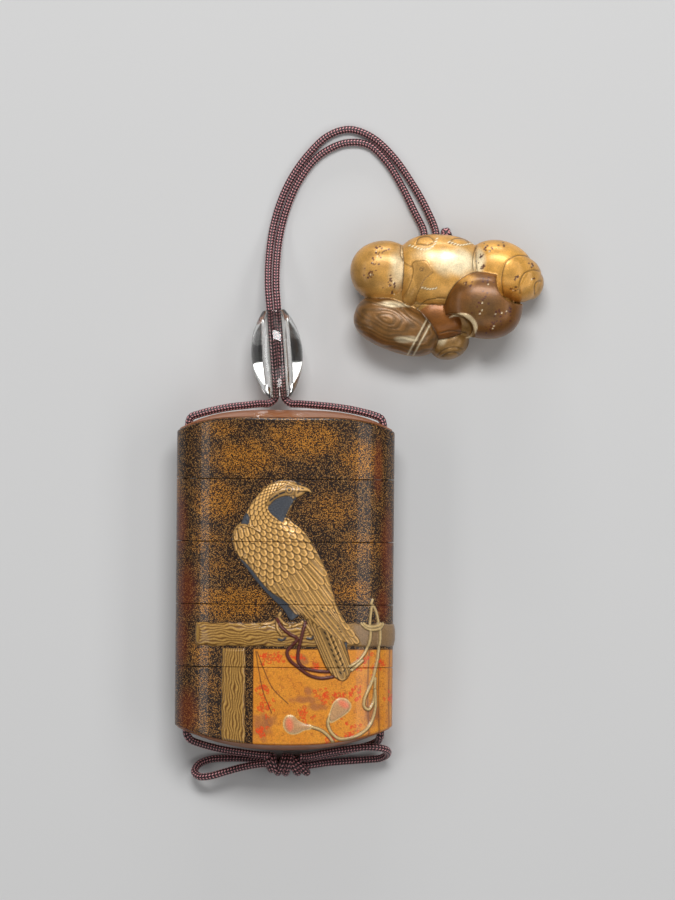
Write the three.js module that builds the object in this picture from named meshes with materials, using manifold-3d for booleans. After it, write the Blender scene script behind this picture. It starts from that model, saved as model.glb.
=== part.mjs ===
// An inro: a Japanese case of lacquered wood, carried on a silk cord. Four boxes and a lid nest one on the
// next, and a bird of prey on a perch is raised in gold lacquer across their fronts. The cord runs down a
// channel in each side, is tied in a bow under the base, and passes through an ojime, a bead of rock
// crystal, to a netsuke, a toggle carved as a heap of seashells.
//
// Millimetres. The case lies on its back: +X across it, +Y along it towards the lid, +Z up. The origin is
// the middle of the narrow flat on the case's back, on the surface that everything lies on.
import * as THREE from "three";
import { mergeVertices } from "three/addons/utils/BufferGeometryUtils.js";
import Module from "manifold-3d";

const wasm = await Module();
wasm.setup();

// ---- Driving dimensions -------------------------------------------------------------------------------

const CASE = {
  halfWidth: 28,
  halfDepth: 11.5,
  backFlat: 0.12, // how much is taken off the back, so that the case doesn't rock
  sides: 48,
  topEdge: 41.8, // the highest point of the front wall, at its middle
  bottomEdge: -42.2,
  lidRise: 2.0, // the lid's dome above the middle of the front edge
  lidDrop: 3.3, // how far the lid's edge falls from the middle to the sides
  lidFullness: 3.3, // over 2 keeps the dome level for longer before it falls to the sides
  baseRise: 1.6,
  baseDrop: 4.5,
  baseFullness: 2.3,
  firstJoint: 26.0,
  pitch: 16.1,
  jointGap: 0.12,
};
const AXIS_Z = CASE.halfDepth - CASE.backFlat; // height of the case's long axis

const BOX = {
  cavityHalfWidth: 22,
  cavityHalfDepth: 9.5,
  riserWall: 0.9,
  riserHeight: 5,
  riserPlay: 0.1,
  headroom: 0.3, // between a riser's rim and the floor above it
  floor: 1.3,
  endWall: 1.7,
};

const CHANNEL = { x: 25, radius: 1.35, sides: 16 };

const RELIEF = {
  birdEdge: 0.3, // height of the bird's outline above the ground
  birdCrown: 0.6, // what its middle adds
  birdShoulder: 2.5, // distance over which it rises
  gridStep: 2.2,
  root: 0.5, // how deep the relief is keyed into the wall
  logSide: 0.3,
  logCrown: 0.55,
  logEdgeBand: 0.9,
  post: 0.35,
};

const PERCH = {
  logLeft: -23.4,
  logTop: -10.9,
  logBottom: -16.9,
  postLeft: -15.9,
  postRight: -9.8,
  postTop: -17.4,
};

// The bird's outline, clockwise from the crown: head, beak, breast, wing, tail, belly, shoulder.
const BIRD_OUTLINE = [
  [0.4, 25.5], [3.0, 25.0], [4.7, 24.3], [6.2, 23.6], [6.9, 22.4], [5.6, 22.6], [4.3, 21.9], [2.8, 21.0],
  [1.8, 19.5], [0.8, 17.8], [0.4, 15.7], [1.8, 14.4], [3.8, 13.0], [5.7, 10.7], [7.4, 8.1], [9.0, 5.0],
  [10.7, 1.4], [11.8, -2.4], [13.0, -6.4], [15.5, -10.9], [19.6, -16.3], [16.3, -15.8], [17.0, -21.0],
  [16.9, -24.0], [15.4, -25.6], [13.2, -24.8], [10.6, -21.8], [8.5, -16.8], [6.2, -11.4], [4.4, -8.7],
  [1.8, -10.2], [-0.2, -7.5], [-2.6, -5.2], [-5.2, -2.6], [-7.4, 0.0], [-9.4, 2.7], [-11.6, 5.6],
  [-12.8, 8.9], [-13.1, 11.8], [-12.3, 13.9], [-10.9, 14.8], [-9.8, 17.2], [-8.1, 20.2], [-6.5, 22.2],
  [-4.5, 24.1], [-2.2, 25.2],
];

const BEAD = {
  centre: [-2.55, 58.3],
  lean: 4.5, // degrees, its upper end towards -X
  halfLength: 11.3,
  radius: 6.65,
  endRadius: 2.8,
  bore: 2.5,
  sides: 20,
  profileSteps: 10,
};
const BEAD_Z = BEAD.radius * Math.cos(Math.PI / BEAD.sides); // it rests on one of its facets

const CORD = { diameter: 1.9, sides: 8 };
const BOW_KNOT = { centre: [0.4, -47.6, 3.0], halfLength: 5.3, radius: 2.9 };
const END_KNOT = { centre: [40.75, 89.9, 1.35], radius: 1.3 };

// Where each half of the cord runs, from inside the netsuke to the bow.
const CORD_LEFT = [
  [38.6, 82.2, 7.4], [38.5, 84.6, 5.0], [38.35, 87.4, 2.5], [38.1, 90.6, 1.15], [35.8, 96.0, 1.0],
  [32.2, 102.3, 1.0], [26.8, 109.8, 1.0], [21.2, 114.7, 1.0], [15.6, 116.5, 1.0], [10.2, 114.8, 1.0],
  [4.8, 109.6, 1.0], [0.6, 103.4, 1.0], [-2.2, 97.0, 1.0], [-3.9, 90.6, 1.15], [-4.8, 83.4, 2.9],
  [-4.95, 76.0, 5.7], [-4.5, 70.4, 6.6], [-2.83, 49.2, 6.6], [-2.95, 46.8, 6.7], [-4.5, 45.5, 7.3],
  [-6.6, 45.4, 8.2], [-10.2, 44.95, 9.7], [-15.2, 44.3, 11.0], [-20.2, 43.2, 11.38],
  [-22.6, 42.5, 11.38], [-24.35, 41.8, 11.38], [-25.0, 40.4, 11.38], [-25.0, -38.6, 11.38],
  [-24.8, -40.1, 11.2], [-23.8, -41.4, 10.6], [-21.6, -42.3, 9.7], [-16.0, -43.8, 7.5],
  [-10.4, -44.7, 5.6], [-5.4, -45.3, 4.6],
];
const CORD_RIGHT = [
  [35.6, 82.2, 7.4], [35.5, 84.6, 5.0], [35.3, 87.4, 2.5], [35.0, 90.6, 1.15], [32.6, 95.4, 1.0],
  [29.6, 101.4, 1.0], [25.4, 108.1, 1.0], [20.6, 112.5, 1.0], [15.4, 113.1, 1.0], [10.4, 111.3, 1.0],
  [6.4, 108.2, 1.0], [2.4, 102.4, 1.0], [-0.2, 96.3, 1.0], [-1.85, 90.2, 1.15], [-2.75, 83.3, 2.9],
  [-2.92, 76.0, 5.7], [-2.5, 70.4, 6.6], [-0.83, 49.2, 6.6], [-0.35, 46.8, 6.7], [1.2, 45.5, 7.3],
  [3.3, 45.4, 8.2], [6.9, 45.15, 9.7], [12.0, 44.7, 11.0], [17.6, 43.85, 11.38], [22.6, 42.6, 11.38],
  [24.35, 41.8, 11.38], [25.0, 40.4, 11.38], [25.0, -38.6, 11.38], [24.95, -40.0, 10.6],
  [24.7, -40.8, 8.6], [24.0, -41.6, 6.4], [21.6, -42.7, 4.4], [17.6, -43.7, 3.2], [12.4, -44.9, 2.4],
  [6.2, -46.0, 2.4],
];
const LOOP_LEFT = [
  [-5.4, -47.6, 4.4], [-10.3, -48.4, 5.4], [-15.0, -49.7, 6.4], [-18.8, -50.8, 6.4],
  [-21.6, -51.0, 5.0], [-22.9, -49.7, 3.0], [-21.7, -47.8, 1.5], [-18.6, -46.6, 1.0],
  [-14.5, -46.3, 1.0], [-10.0, -46.3, 1.05], [-5.4, -46.6, 1.7],
];
const LOOP_RIGHT = [
  [6.2, -45.6, 4.9], [10.7, -44.6, 6.8], [15.9, -43.6, 8.6], [21.0, -42.9, 9.4], [24.3, -43.0, 8.9],
  [26.5, -43.6, 7.0], [26.9, -44.7, 4.4], [25.2, -45.9, 2.2], [21.0, -46.4, 1.15], [15.9, -46.8, 1.0],
  [10.8, -47.3, 1.45], [6.2, -48.0, 2.6],
];

// The netsuke: its shells about its own middle, which stands at NETSUKE.centre. Each is a rounded lobe of
// half-length and half-width `radii`, turned by `turn` degrees, that reaches from `under`, or from the
// surface below, to `top`. A `squareness` over 2 fills out its corners, `fullness` flattens every lobe's top,
// and `notches` are lobes that it is cut away by. The heap is what the shells are carved out of.
const NETSUKE = { centre: [41.0, 72.8], holeRadius: 1.2, reach: 40, sunk: 0.3, fullness: 2.5 };
const SNAIL_CROWN = { at: [19.0, 5.2], radii: [5.6, 6.0], turn: -20, top: 12.8 };
const SHELLS = {
  heap: { at: [-1.0, 1.0], radii: [18.5, 11.0], turn: -4, top: 12.4, squareness: 2.3 },
  clam: { at: [-16.3, 7.1], radii: [8.5, 7.8], turn: 8, top: 14.4, squareness: 2.1 },
  greatShell: { at: [-1.8, 7.0], radii: [11.6, 9.6], turn: -3, top: 15.8, squareness: 2.5 },
  razorShell: { at: [-8.4, 4.6], radii: [3.0, 7.6], turn: -14, top: 14.9 },
  snail: { at: [13.8, 7.9], radii: [9.2, 7.2], turn: -20, top: 14.6 },
  snailCrown: SNAIL_CROWN,
  snailTip: { at: [22.2, 3.9], radii: [2.9, 3.9], turn: -14, top: 10.2 },
  halfShell: {
    at: [9.6, -1.5],
    radii: [10.1, 8.7],
    turn: -6,
    under: 4.0,
    top: 18.6,
    squareness: 2.3,
    notches: [
      { at: [1.4, -9.2], radii: [6.0, 5.4], turn: 10, under: 5.0, top: 30 },
      { ...SNAIL_CROWN, radii: [6.2, 6.6], under: -1, top: 30 },
    ],
  },
  ribbedClam: {
    at: [-12.6, -7.1], radii: [11.5, 6.6], turn: -20, under: 0.8, top: 14.8, squareness: 2.5,
  },
  innerClam: { at: [-1.9, -4.7], radii: [8.0, 6.4], turn: -12, top: 12.9 },
  smallSnail: { at: [0.9, -11.3], radii: [5.3, 4.2], turn: 22, top: 10.4 },
};
const SHELL_MESH = { around: 16, along: 9 };

// ---- Materials ----------------------------------------------------------------------------------------

const paint = (color, roughness, metalness) =>
  new THREE.MeshStandardMaterial({ color, roughness, metalness });
const SPRINKLED_LACQUER = paint(0x6b4620, 0.25, 0.3);
const GOLD_LACQUER = paint(0xb98b3c, 0.32, 0.75);
const ROCK_CRYSTAL = paint(0xe8eaea, 0.05, 0);
const SILK = paint(0x6d2438, 0.7, 0);

// ---- Solids -------------------------------------------------------------------------------------------

// A closed geometry as a solid that can be joined and cut.
function solid(geometry) {
  const bare = geometry.index ? geometry.toNonIndexed() : geometry.clone();
  for (const name of ["normal", "uv"]) bare.deleteAttribute(name);
  const merged = mergeVertices(bare, 1e-4);
  return new wasm.Manifold(
    new wasm.Mesh({
      numProp: 3,
      vertProperties: merged.attributes.position.array,
      triVerts: new Uint32Array(merged.index.array),
    }),
  );
}

function geometryOf(made) {
  const mesh = made.getMesh();
  return new THREE.BufferGeometry()
    .setAttribute("position", new THREE.BufferAttribute(mesh.vertProperties, 3))
    .setIndex(new THREE.BufferAttribute(mesh.triVerts, 1))
    .toNonIndexed();
}

function node(name, made, material) {
  const geometry = made.isBufferGeometry ? made : geometryOf(made);
  geometry.computeVertexNormals();
  const mesh = new THREE.Mesh(geometry, material);
  mesh.name = name;
  return mesh;
}

function blockBetween([x0, y0, z0], [x1, y1, z1]) {
  const block = new THREE.BoxGeometry(x1 - x0, y1 - y0, z1 - z0);
  return solid(block.translate((x0 + x1) / 2, (y0 + y1) / 2, (z0 + z1) / 2));
}

// An outline in the X-Z plane, as [x, height] pairs, drawn out along the case from yLow to yHigh.
function prismAlong(outline, yLow, yHigh) {
  const shape = new THREE.Shape(outline.map(([x, z]) => new THREE.Vector2(x, z)));
  const drawn = new THREE.ExtrudeGeometry(shape, { depth: yHigh - yLow, bevelEnabled: false });
  return solid(drawn.rotateX(Math.PI / 2).translate(0, yHigh, 0));
}

// The same for an outline in the X-Y plane, drawn upwards.
function prismUp(outline, zLow, zHigh) {
  const shape = new THREE.Shape(outline.map(([x, y]) => new THREE.Vector2(x, y)));
  const drawn = new THREE.ExtrudeGeometry(shape, { depth: zHigh - zLow, bevelEnabled: false });
  return solid(drawn.translate(0, 0, zLow));
}

function ellipse(halfWidth, halfDepth) {
  return Array.from({ length: CASE.sides }, (_, i) => {
    const angle = ((i + 0.5) * 2 * Math.PI) / CASE.sides;
    return [halfWidth * Math.cos(angle), AXIS_Z + halfDepth * Math.sin(angle)];
  });
}

const outerOutline = (grown = 0) => ellipse(CASE.halfWidth + grown, CASE.halfDepth + grown);
const insideOutline = (grown) => ellipse(BOX.cavityHalfWidth + grown, BOX.cavityHalfDepth + grown);

// ---- The case -----------------------------------------------------------------------------------------

const LID_APEX = CASE.topEdge + CASE.lidRise;
const BASE_APEX = CASE.bottomEdge - CASE.baseRise;
const LID_END = {
  apex: LID_APEX,
  towards: 1,
  rise: CASE.lidRise,
  drop: CASE.lidDrop,
  fullness: CASE.lidFullness,
};
const BASE_END = {
  apex: BASE_APEX,
  towards: -1,
  rise: CASE.baseRise,
  drop: CASE.baseDrop,
  fullness: CASE.baseFullness,
};

// Everything on the case's side of a domed end. From its middle the dome falls by `rise` to the middle of
// the front edge, and by `rise` and `drop` to the sides.
function withinDome({ apex, towards, rise, drop, fullness }, inset = 0) {
  const [halfX, halfZ] = [CASE.halfWidth + 1, CASE.halfDepth + 1];
  const length = 2 * (LID_APEX - BASE_APEX);
  const block = new THREE.BoxGeometry(2, length, 2 * halfZ, 16, 1, 6);
  const points = block.attributes.position;
  for (let i = 0; i < points.count; i += 1) {
    const x = halfX * Math.sin((points.getX(i) * Math.PI) / 2);
    const share = Math.abs(x) / CASE.halfWidth;
    const fall = (rise + drop) * share ** fullness + rise * (points.getZ(i) / CASE.halfDepth) ** 2;
    points.setX(i, x);
    points.setY(i, points.getY(i) > 0 ? -fall : -length);
  }
  if (towards < 0) block.rotateZ(Math.PI);
  return solid(block.translate(0, apex - towards * inset, AXIS_Z));
}

const smooth = (t) => t * t * (3 - 2 * t);

function distanceInside(outline, x, y) {
  let nearest = Infinity;
  let inside = false;
  outline.forEach(([ax, ay], i) => {
    const [bx, by] = outline[(i + 1) % outline.length];
    const share = ((x - ax) * (bx - ax) + (y - ay) * (by - ay)) / ((bx - ax) ** 2 + (by - ay) ** 2);
    const t = Math.min(1, Math.max(0, share));
    nearest = Math.min(nearest, Math.hypot(x - ax - t * (bx - ax), y - ay - t * (by - ay)));
    if (ay > y !== by > y && x < ax + ((y - ay) * (bx - ax)) / (by - ay)) inside = !inside;
  });
  return inside ? nearest : 0;
}

// The raised bird: a pad that follows the curved front, fullest in its middle, cut to the outline.
function birdRelief() {
  const curve = new THREE.CatmullRomCurve3(
    BIRD_OUTLINE.map(([x, y]) => new THREE.Vector3(x, y, 0)),
    true,
  );
  const outline = curve.getPoints(Math.round(BIRD_OUTLINE.length * 1.6)).slice(0, -1).map((p) => [p.x, p.y]);
  const xs = outline.map((p) => p[0]);
  const ys = outline.map((p) => p[1]);
  const [left, right] = [Math.min(...xs) - 1, Math.max(...xs) + 1];
  const [low, high] = [Math.min(...ys) - 1, Math.max(...ys) + 1];
  const across = Math.round((right - left) / RELIEF.gridStep);
  const along = Math.round((high - low) / RELIEF.gridStep);
  const pad = new THREE.BoxGeometry(right - left, high - low, 2, across, along, 1);
  pad.translate((left + right) / 2, (low + high) / 2, 0);
  const points = pad.attributes.position;
  for (let i = 0; i < points.count; i += 1) {
    const [x, y] = [points.getX(i), points.getY(i)];
    const ground = AXIS_Z + CASE.halfDepth * Math.sqrt(1 - (x / CASE.halfWidth) ** 2);
    const full = smooth(Math.min(1, distanceInside(outline, x, y) / RELIEF.birdShoulder));
    const height = points.getZ(i) > 0 ? RELIEF.birdEdge + RELIEF.birdCrown * full : -RELIEF.root;
    points.setZ(i, ground + height);
  }
  return solid(pad).intersect(prismUp(outline, AXIS_Z, AXIS_Z + 2 * CASE.halfDepth));
}

// A band of the case's front that stands `height` proud, between two corners of the front.
function raisedBand(height, [x0, y0], [x1, y1]) {
  const shell = prismAlong(outerOutline(height), y0, y1);
  return shell.intersect(blockBetween([x0, y0, AXIS_Z], [x1, y1, AXIS_Z + 2 * CASE.halfDepth]));
}

function perchRelief() {
  const past = CASE.halfWidth + 2;
  const { logLeft, logTop, logBottom, postLeft, postRight, postTop } = PERCH;
  const crown = RELIEF.logEdgeBand;
  return raisedBand(RELIEF.logSide, [logLeft, logBottom], [past, logTop])
    .add(raisedBand(RELIEF.logCrown, [logLeft + crown, logBottom + crown], [past, logTop - crown]))
    .add(raisedBand(RELIEF.post, [postLeft, BASE_APEX - 2], [postRight, postTop]));
}

// The whole case as one form, with the decoration that runs on across its joints.
function wholeCase() {
  return prismAlong(outerOutline(), BASE_APEX - 2, LID_APEX + 2)
    .add(birdRelief())
    .add(perchRelief())
    .intersect(withinDome(LID_END))
    .intersect(withinDome(BASE_END));
}

function cordChannels() {
  const bore = (x) => {
    const long = LID_APEX - BASE_APEX + 10;
    const made = new THREE.CylinderGeometry(CHANNEL.radius, CHANNEL.radius, long, CHANNEL.sides);
    return solid(made.translate(x, (LID_APEX + BASE_APEX) / 2, AXIS_Z));
  };
  return bore(-CHANNEL.x).add(bore(CHANNEL.x));
}

const sliceOf = (form, low, high) =>
  form.intersect(
    blockBetween([-CASE.halfWidth - 3, low, 0], [CASE.halfWidth + 3, high, AXIS_Z + 2 * CASE.halfDepth]),
  );
const socket = (joint) =>
  prismAlong(insideOutline(BOX.riserWall + BOX.riserPlay), joint - 1, joint + BOX.riserHeight + BOX.headroom);
const riser = (joint) => prismAlong(insideOutline(BOX.riserWall), joint - 1, joint + BOX.riserHeight);

// The lid, the boxes from the top down, and the base box, each cut from the whole.
function caseNodes() {
  const whole = wholeCase().subtract(cordChannels());
  const joints = [0, 1, 2, 3].map((i) => CASE.firstJoint - i * CASE.pitch);
  const half = CASE.jointGap / 2;
  const rimAbove = (joint) => joint + BOX.riserHeight + 1;
  const lid = sliceOf(whole, joints[0] + half, LID_APEX + 2)
    .subtract(socket(joints[0]))
    .subtract(
      prismAlong(insideOutline(0), joints[0], LID_APEX).intersect(withinDome(LID_END, BOX.endWall)),
    );
  const nodes = [node("lid", lid, SPRINKLED_LACQUER)];
  joints.forEach((joint, i) => {
    const isBase = i === joints.length - 1;
    const below = isBase ? BASE_APEX - 2 : joints[i + 1] + half;
    let box = sliceOf(whole, below, joint - half).add(riser(joint));
    if (isBase) {
      const hollow = prismAlong(insideOutline(0), BASE_APEX, rimAbove(joint));
      box = box.subtract(hollow.intersect(withinDome(BASE_END, BOX.endWall)));
    } else {
      const floor = joints[i + 1] + BOX.riserHeight + BOX.headroom + BOX.floor;
      box = box.subtract(socket(joints[i + 1]));
      box = box.subtract(prismAlong(insideOutline(0), floor, rimAbove(joint)));
    }
    nodes.push(node(isBase ? "base_box" : `box_${i + 1}`, box, SPRINKLED_LACQUER));
  });
  return nodes;
}

// ---- The bead -----------------------------------------------------------------------------------------

function ojime() {
  const { halfLength, radius, endRadius, bore, sides, profileSteps } = BEAD;
  const fall = radius - endRadius;
  const arc = (halfLength ** 2 + fall ** 2) / (2 * fall); // the profile is one arc of this radius
  const profile = [new THREE.Vector2(bore, -halfLength)];
  for (let i = 0; i <= profileSteps; i += 1) {
    const y = halfLength * ((2 * i) / profileSteps - 1);
    profile.push(new THREE.Vector2(radius - arc + Math.sqrt(arc ** 2 - y ** 2), y));
  }
  profile.push(new THREE.Vector2(bore, halfLength), new THREE.Vector2(bore, -halfLength));
  const bead = node(
    "ojime_bead",
    solid(new THREE.LatheGeometry(profile, sides, Math.PI / sides)),
    ROCK_CRYSTAL,
  );
  bead.position.set(...BEAD.centre, BEAD_Z);
  bead.rotation.z = THREE.MathUtils.degToRad(BEAD.lean);
  return bead;
}

// ---- The cord -----------------------------------------------------------------------------------------

// A route whose steps fall on its own points.
class Route extends THREE.CatmullRomCurve3 {
  getUtoTmapping(u) {
    return u;
  }
}

function cordAlong(name, points) {
  const section = new THREE.Shape(
    Array.from({ length: CORD.sides }, (_, i) => {
      const angle = ((i + 0.5) * 2 * Math.PI) / CORD.sides;
      return new THREE.Vector2(Math.cos(angle), Math.sin(angle)).multiplyScalar(CORD.diameter / 2);
    }),
  );
  const route = new Route(points.map((p) => new THREE.Vector3(...p)));
  const tube = new THREE.ExtrudeGeometry(section, { steps: points.length - 1, extrudePath: route });
  return node(name, solid(tube), SILK);
}

function bowKnot() {
  const { centre, halfLength, radius } = BOW_KNOT;
  const ends = 1.1; // how far its rounded ends run in
  const profile = [
    [0, -halfLength], [radius * 0.75, -halfLength], [radius, -halfLength + ends],
    [radius, halfLength - ends], [radius * 0.75, halfLength], [0, halfLength],
  ].map(([r, y]) => new THREE.Vector2(r, y));
  const knot = node("bow_knot", solid(new THREE.LatheGeometry(profile, 14)), SILK);
  knot.rotation.z = Math.PI / 2;
  knot.position.set(...centre);
  return knot;
}

function endKnot() {
  const knot = node("end_knot", solid(new THREE.SphereGeometry(END_KNOT.radius, 12, 8)), SILK);
  knot.position.set(...END_KNOT.centre);
  return knot;
}

// ---- The netsuke --------------------------------------------------------------------------------------

// The length of (a, b) measured so that equal lengths make a rounded square: a circle at a power of 2.
const roundedLength = (a, b, power) => (Math.abs(a) ** power + Math.abs(b) ** power) ** (1 / power);

function lobe({ at, radii, turn, top, under = -NETSUKE.sunk, squareness = 2 }) {
  const ball = new THREE.SphereGeometry(1, SHELL_MESH.around, SHELL_MESH.along).rotateX(Math.PI / 2);
  const points = ball.attributes.position;
  for (let i = 0; i < points.count; i += 1) {
    const [x, y, z] = [points.getX(i), points.getY(i), points.getZ(i)];
    const reach = Math.hypot(x, y);
    const corners = reach > 1e-6 ? reach / roundedLength(x, y, squareness) : 1;
    const fuller = 1 / roundedLength(reach, z, NETSUKE.fullness);
    points.setXYZ(i, x * corners * fuller, y * corners * fuller, z * fuller);
  }
  ball.scale(...radii, (top - under) / 2).rotateZ(THREE.MathUtils.degToRad(turn));
  return solid(ball.translate(NETSUKE.centre[0] + at[0], NETSUKE.centre[1] + at[1], (top + under) / 2));
}

const shell = (form) =>
  (form.notches ?? []).reduce((left, notch) => left.subtract(lobe(notch)), lobe(form));

// The hole that takes one end of the cord: it follows the cord's first stretch, out under the netsuke.
function cordHole(route) {
  const from = new THREE.Vector3(...route[0]);
  const to = new THREE.Vector3(...route[2]);
  const along = to.clone().sub(from).normalize();
  from.addScaledVector(along, -0.4);
  to.addScaledVector(along, 2);
  const bore = new THREE.CylinderGeometry(
    NETSUKE.holeRadius, NETSUKE.holeRadius, from.distanceTo(to), CHANNEL.sides,
  );
  const turned = new THREE.Quaternion().setFromUnitVectors(new THREE.Vector3(0, 1, 0), along);
  const middle = from.add(to).multiplyScalar(0.5);
  return solid(bore.applyQuaternion(turned).translate(middle.x, middle.y, middle.z));
}

function netsuke() {
  const [x, y] = NETSUKE.centre;
  const above = blockBetween([x - NETSUKE.reach, y - NETSUKE.reach, 0],
    [x + NETSUKE.reach, y + NETSUKE.reach, NETSUKE.reach]);
  const heap = Object.values(SHELLS).map(shell).reduce((joined, next) => joined.add(next));
  const carved = heap.intersect(above).subtract(cordHole(CORD_LEFT)).subtract(cordHole(CORD_RIGHT));
  return node("netsuke", carved, GOLD_LACQUER);
}

// ---- The whole ----------------------------------------------------------------------------------------

const inro = new THREE.Group();
inro.add(
  ...caseNodes(),
  ojime(),
  netsuke(),
  cordAlong("cord_left", CORD_LEFT),
  cordAlong("cord_right", CORD_RIGHT),
  cordAlong("bow_loop_left", LOOP_LEFT),
  cordAlong("bow_loop_right", LOOP_RIGHT),
  bowKnot(),
  endKnot(),
);

export default inro;
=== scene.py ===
"""The looks of an inro: a Japanese case of lacquered boxes on a silk cord, with its bead and its netsuke.

The file is laid out as a Blender add-on and is run as a script. Inside the code lengths are in
millimetres, in the frame of the CAD model, and become metres when a mesh is made.
"""

import math

import bpy
import numpy as np
from mathutils import Matrix, Vector


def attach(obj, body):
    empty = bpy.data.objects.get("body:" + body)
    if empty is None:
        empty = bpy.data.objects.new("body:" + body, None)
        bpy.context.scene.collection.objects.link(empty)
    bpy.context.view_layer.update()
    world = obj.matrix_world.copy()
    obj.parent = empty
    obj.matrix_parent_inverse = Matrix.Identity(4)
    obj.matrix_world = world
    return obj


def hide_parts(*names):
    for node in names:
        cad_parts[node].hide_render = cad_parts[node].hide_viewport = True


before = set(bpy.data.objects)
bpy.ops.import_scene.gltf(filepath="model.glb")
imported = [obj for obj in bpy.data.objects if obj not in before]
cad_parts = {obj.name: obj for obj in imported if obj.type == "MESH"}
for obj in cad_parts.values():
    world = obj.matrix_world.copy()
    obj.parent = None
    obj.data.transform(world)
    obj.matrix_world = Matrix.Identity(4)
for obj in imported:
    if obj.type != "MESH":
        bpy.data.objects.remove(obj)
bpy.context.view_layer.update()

bl_info = {
    "name": "Inro case",
    "version": (1, 0, 0),
    "blender": (4, 5, 0),
    "location": "View3D > Sidebar > Inro",
    "description": "Lacquered inro with its bead, netsuke and silk cord",
    "category": "Object",
}

BODY = "root"
MM = 0.001

# ---- Sizes that follow from the frame, in millimetres ---------------------------------------------------

JOINTS = [26.0, 9.9, -6.2, -22.3]  # from the lid down
JOINT_GAP = 0.12
EDGE_BEVEL = 0.12
LID_APEX = 43.8
BASE_APEX = -43.8
LID_END = {"rise": 2.0, "drop": 3.3, "fullness": 3.3}
BASE_END = {"rise": 1.6, "drop": 4.5, "fullness": 2.3}
CORNER_RADIUS = 0.6
DOME_REACH = 0.975  # share of the outline at which a domed end meets its rounded edge
CAVITY = (22.0, 9.5)
RISER_WALL = 0.9
RISER_PLAY = 0.1
RISER_HEIGHT = 5.0
HEADROOM = 0.3
FLOOR = 1.3
FLOOR_FILLET = 0.5
END_WALL = 1.7
CHANNEL_X = 25.0
CHANNEL_RADIUS = 1.35
BIRD_ZONE = (-14.0, 21.5)  # across the front
BIRD_STEP = 0.15  # between the points of the wall over the bird
FINE_STEP = 0.22  # between those of the rest of the front
COARSE_STEP = 0.9  # between those of the back
PAST_THE_FRONT = 1.5  # how far round the sides the front's steps go on
ROW_STEPS = [0.22, 0.15, 0.15, 0.15, 0.18]  # between the rows of each piece
PAINT_STEP = 0.12
DOME_RINGS, INNER_DOME_RINGS, CORNER_RINGS = 15, 7, 4
BORE_SIDES = 24
CASE_SMOOTH_ANGLE = 38  # degrees: edges sharper than this stay sharp

# The bird's outline, clockwise from the crown, as in the solids.
BIRD_OUTLINE = [
    (0.4, 25.5), (3.0, 25.0), (4.7, 24.3), (6.2, 23.6), (6.9, 22.4), (5.6, 22.6), (4.3, 21.9), (2.8, 21.0),
    (1.8, 19.5), (0.8, 17.8), (0.4, 15.7), (1.8, 14.4), (3.8, 13.0), (5.7, 10.7), (7.4, 8.1), (9.0, 5.0),
    (10.7, 1.4), (11.8, -2.4), (13.0, -6.4), (15.5, -10.9), (19.6, -16.3), (16.3, -15.8), (17.0, -21.0),
    (16.9, -24.0), (15.4, -25.6), (13.2, -24.8), (10.6, -21.8), (8.5, -16.8), (6.2, -11.4), (4.4, -8.7),
    (1.8, -10.2), (-0.2, -7.5), (-2.6, -5.2), (-5.2, -2.6), (-7.4, 0.0), (-9.4, 2.7), (-11.6, 5.6),
    (-12.8, 8.9), (-13.1, 11.8), (-12.3, 13.9), (-10.9, 14.8), (-9.8, 17.2), (-8.1, 20.2), (-6.5, 22.2),
    (-4.5, 24.1), (-2.2, 25.2),
]
LOG = {"left": -22.9, "top": -10.9, "bottom": -16.9, "right": 46.0}  # its right end is round the back
POST = {"left": -15.9, "right": -9.8, "top": -17.4}
CLOTH = {"left": -7.9, "top": -17.5, "right": 44.0}

CORD_LEFT = [
    (38.6, 82.2, 7.4), (38.5, 84.6, 5.0), (38.35, 87.4, 2.5), (38.1, 90.6, 1.15), (35.8, 96.0, 1.0),
    (32.2, 102.3, 1.0), (26.8, 109.8, 1.0), (21.2, 114.7, 1.0), (15.6, 116.5, 1.0), (10.2, 114.8, 1.0),
    (4.8, 109.6, 1.0), (0.6, 103.4, 1.0), (-2.2, 97.0, 1.0), (-3.9, 90.6, 1.15), (-4.8, 83.4, 2.9),
    (-4.95, 76.0, 5.7), (-4.5, 70.4, 6.6), (-2.83, 49.2, 6.6), (-2.95, 46.8, 6.7), (-4.5, 45.5, 7.3),
    (-6.6, 45.4, 8.2), (-10.2, 44.95, 9.7), (-15.2, 44.3, 11.0), (-20.2, 43.2, 11.38),
    (-22.6, 42.5, 11.38), (-24.35, 41.8, 11.38), (-25.0, 40.4, 11.38), (-25.0, -38.6, 11.38),
    (-24.8, -40.1, 11.2), (-23.8, -41.4, 10.6), (-21.6, -42.3, 9.7), (-16.0, -43.8, 7.5),
    (-10.4, -44.7, 5.6), (-5.4, -45.3, 4.6),
]
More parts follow.
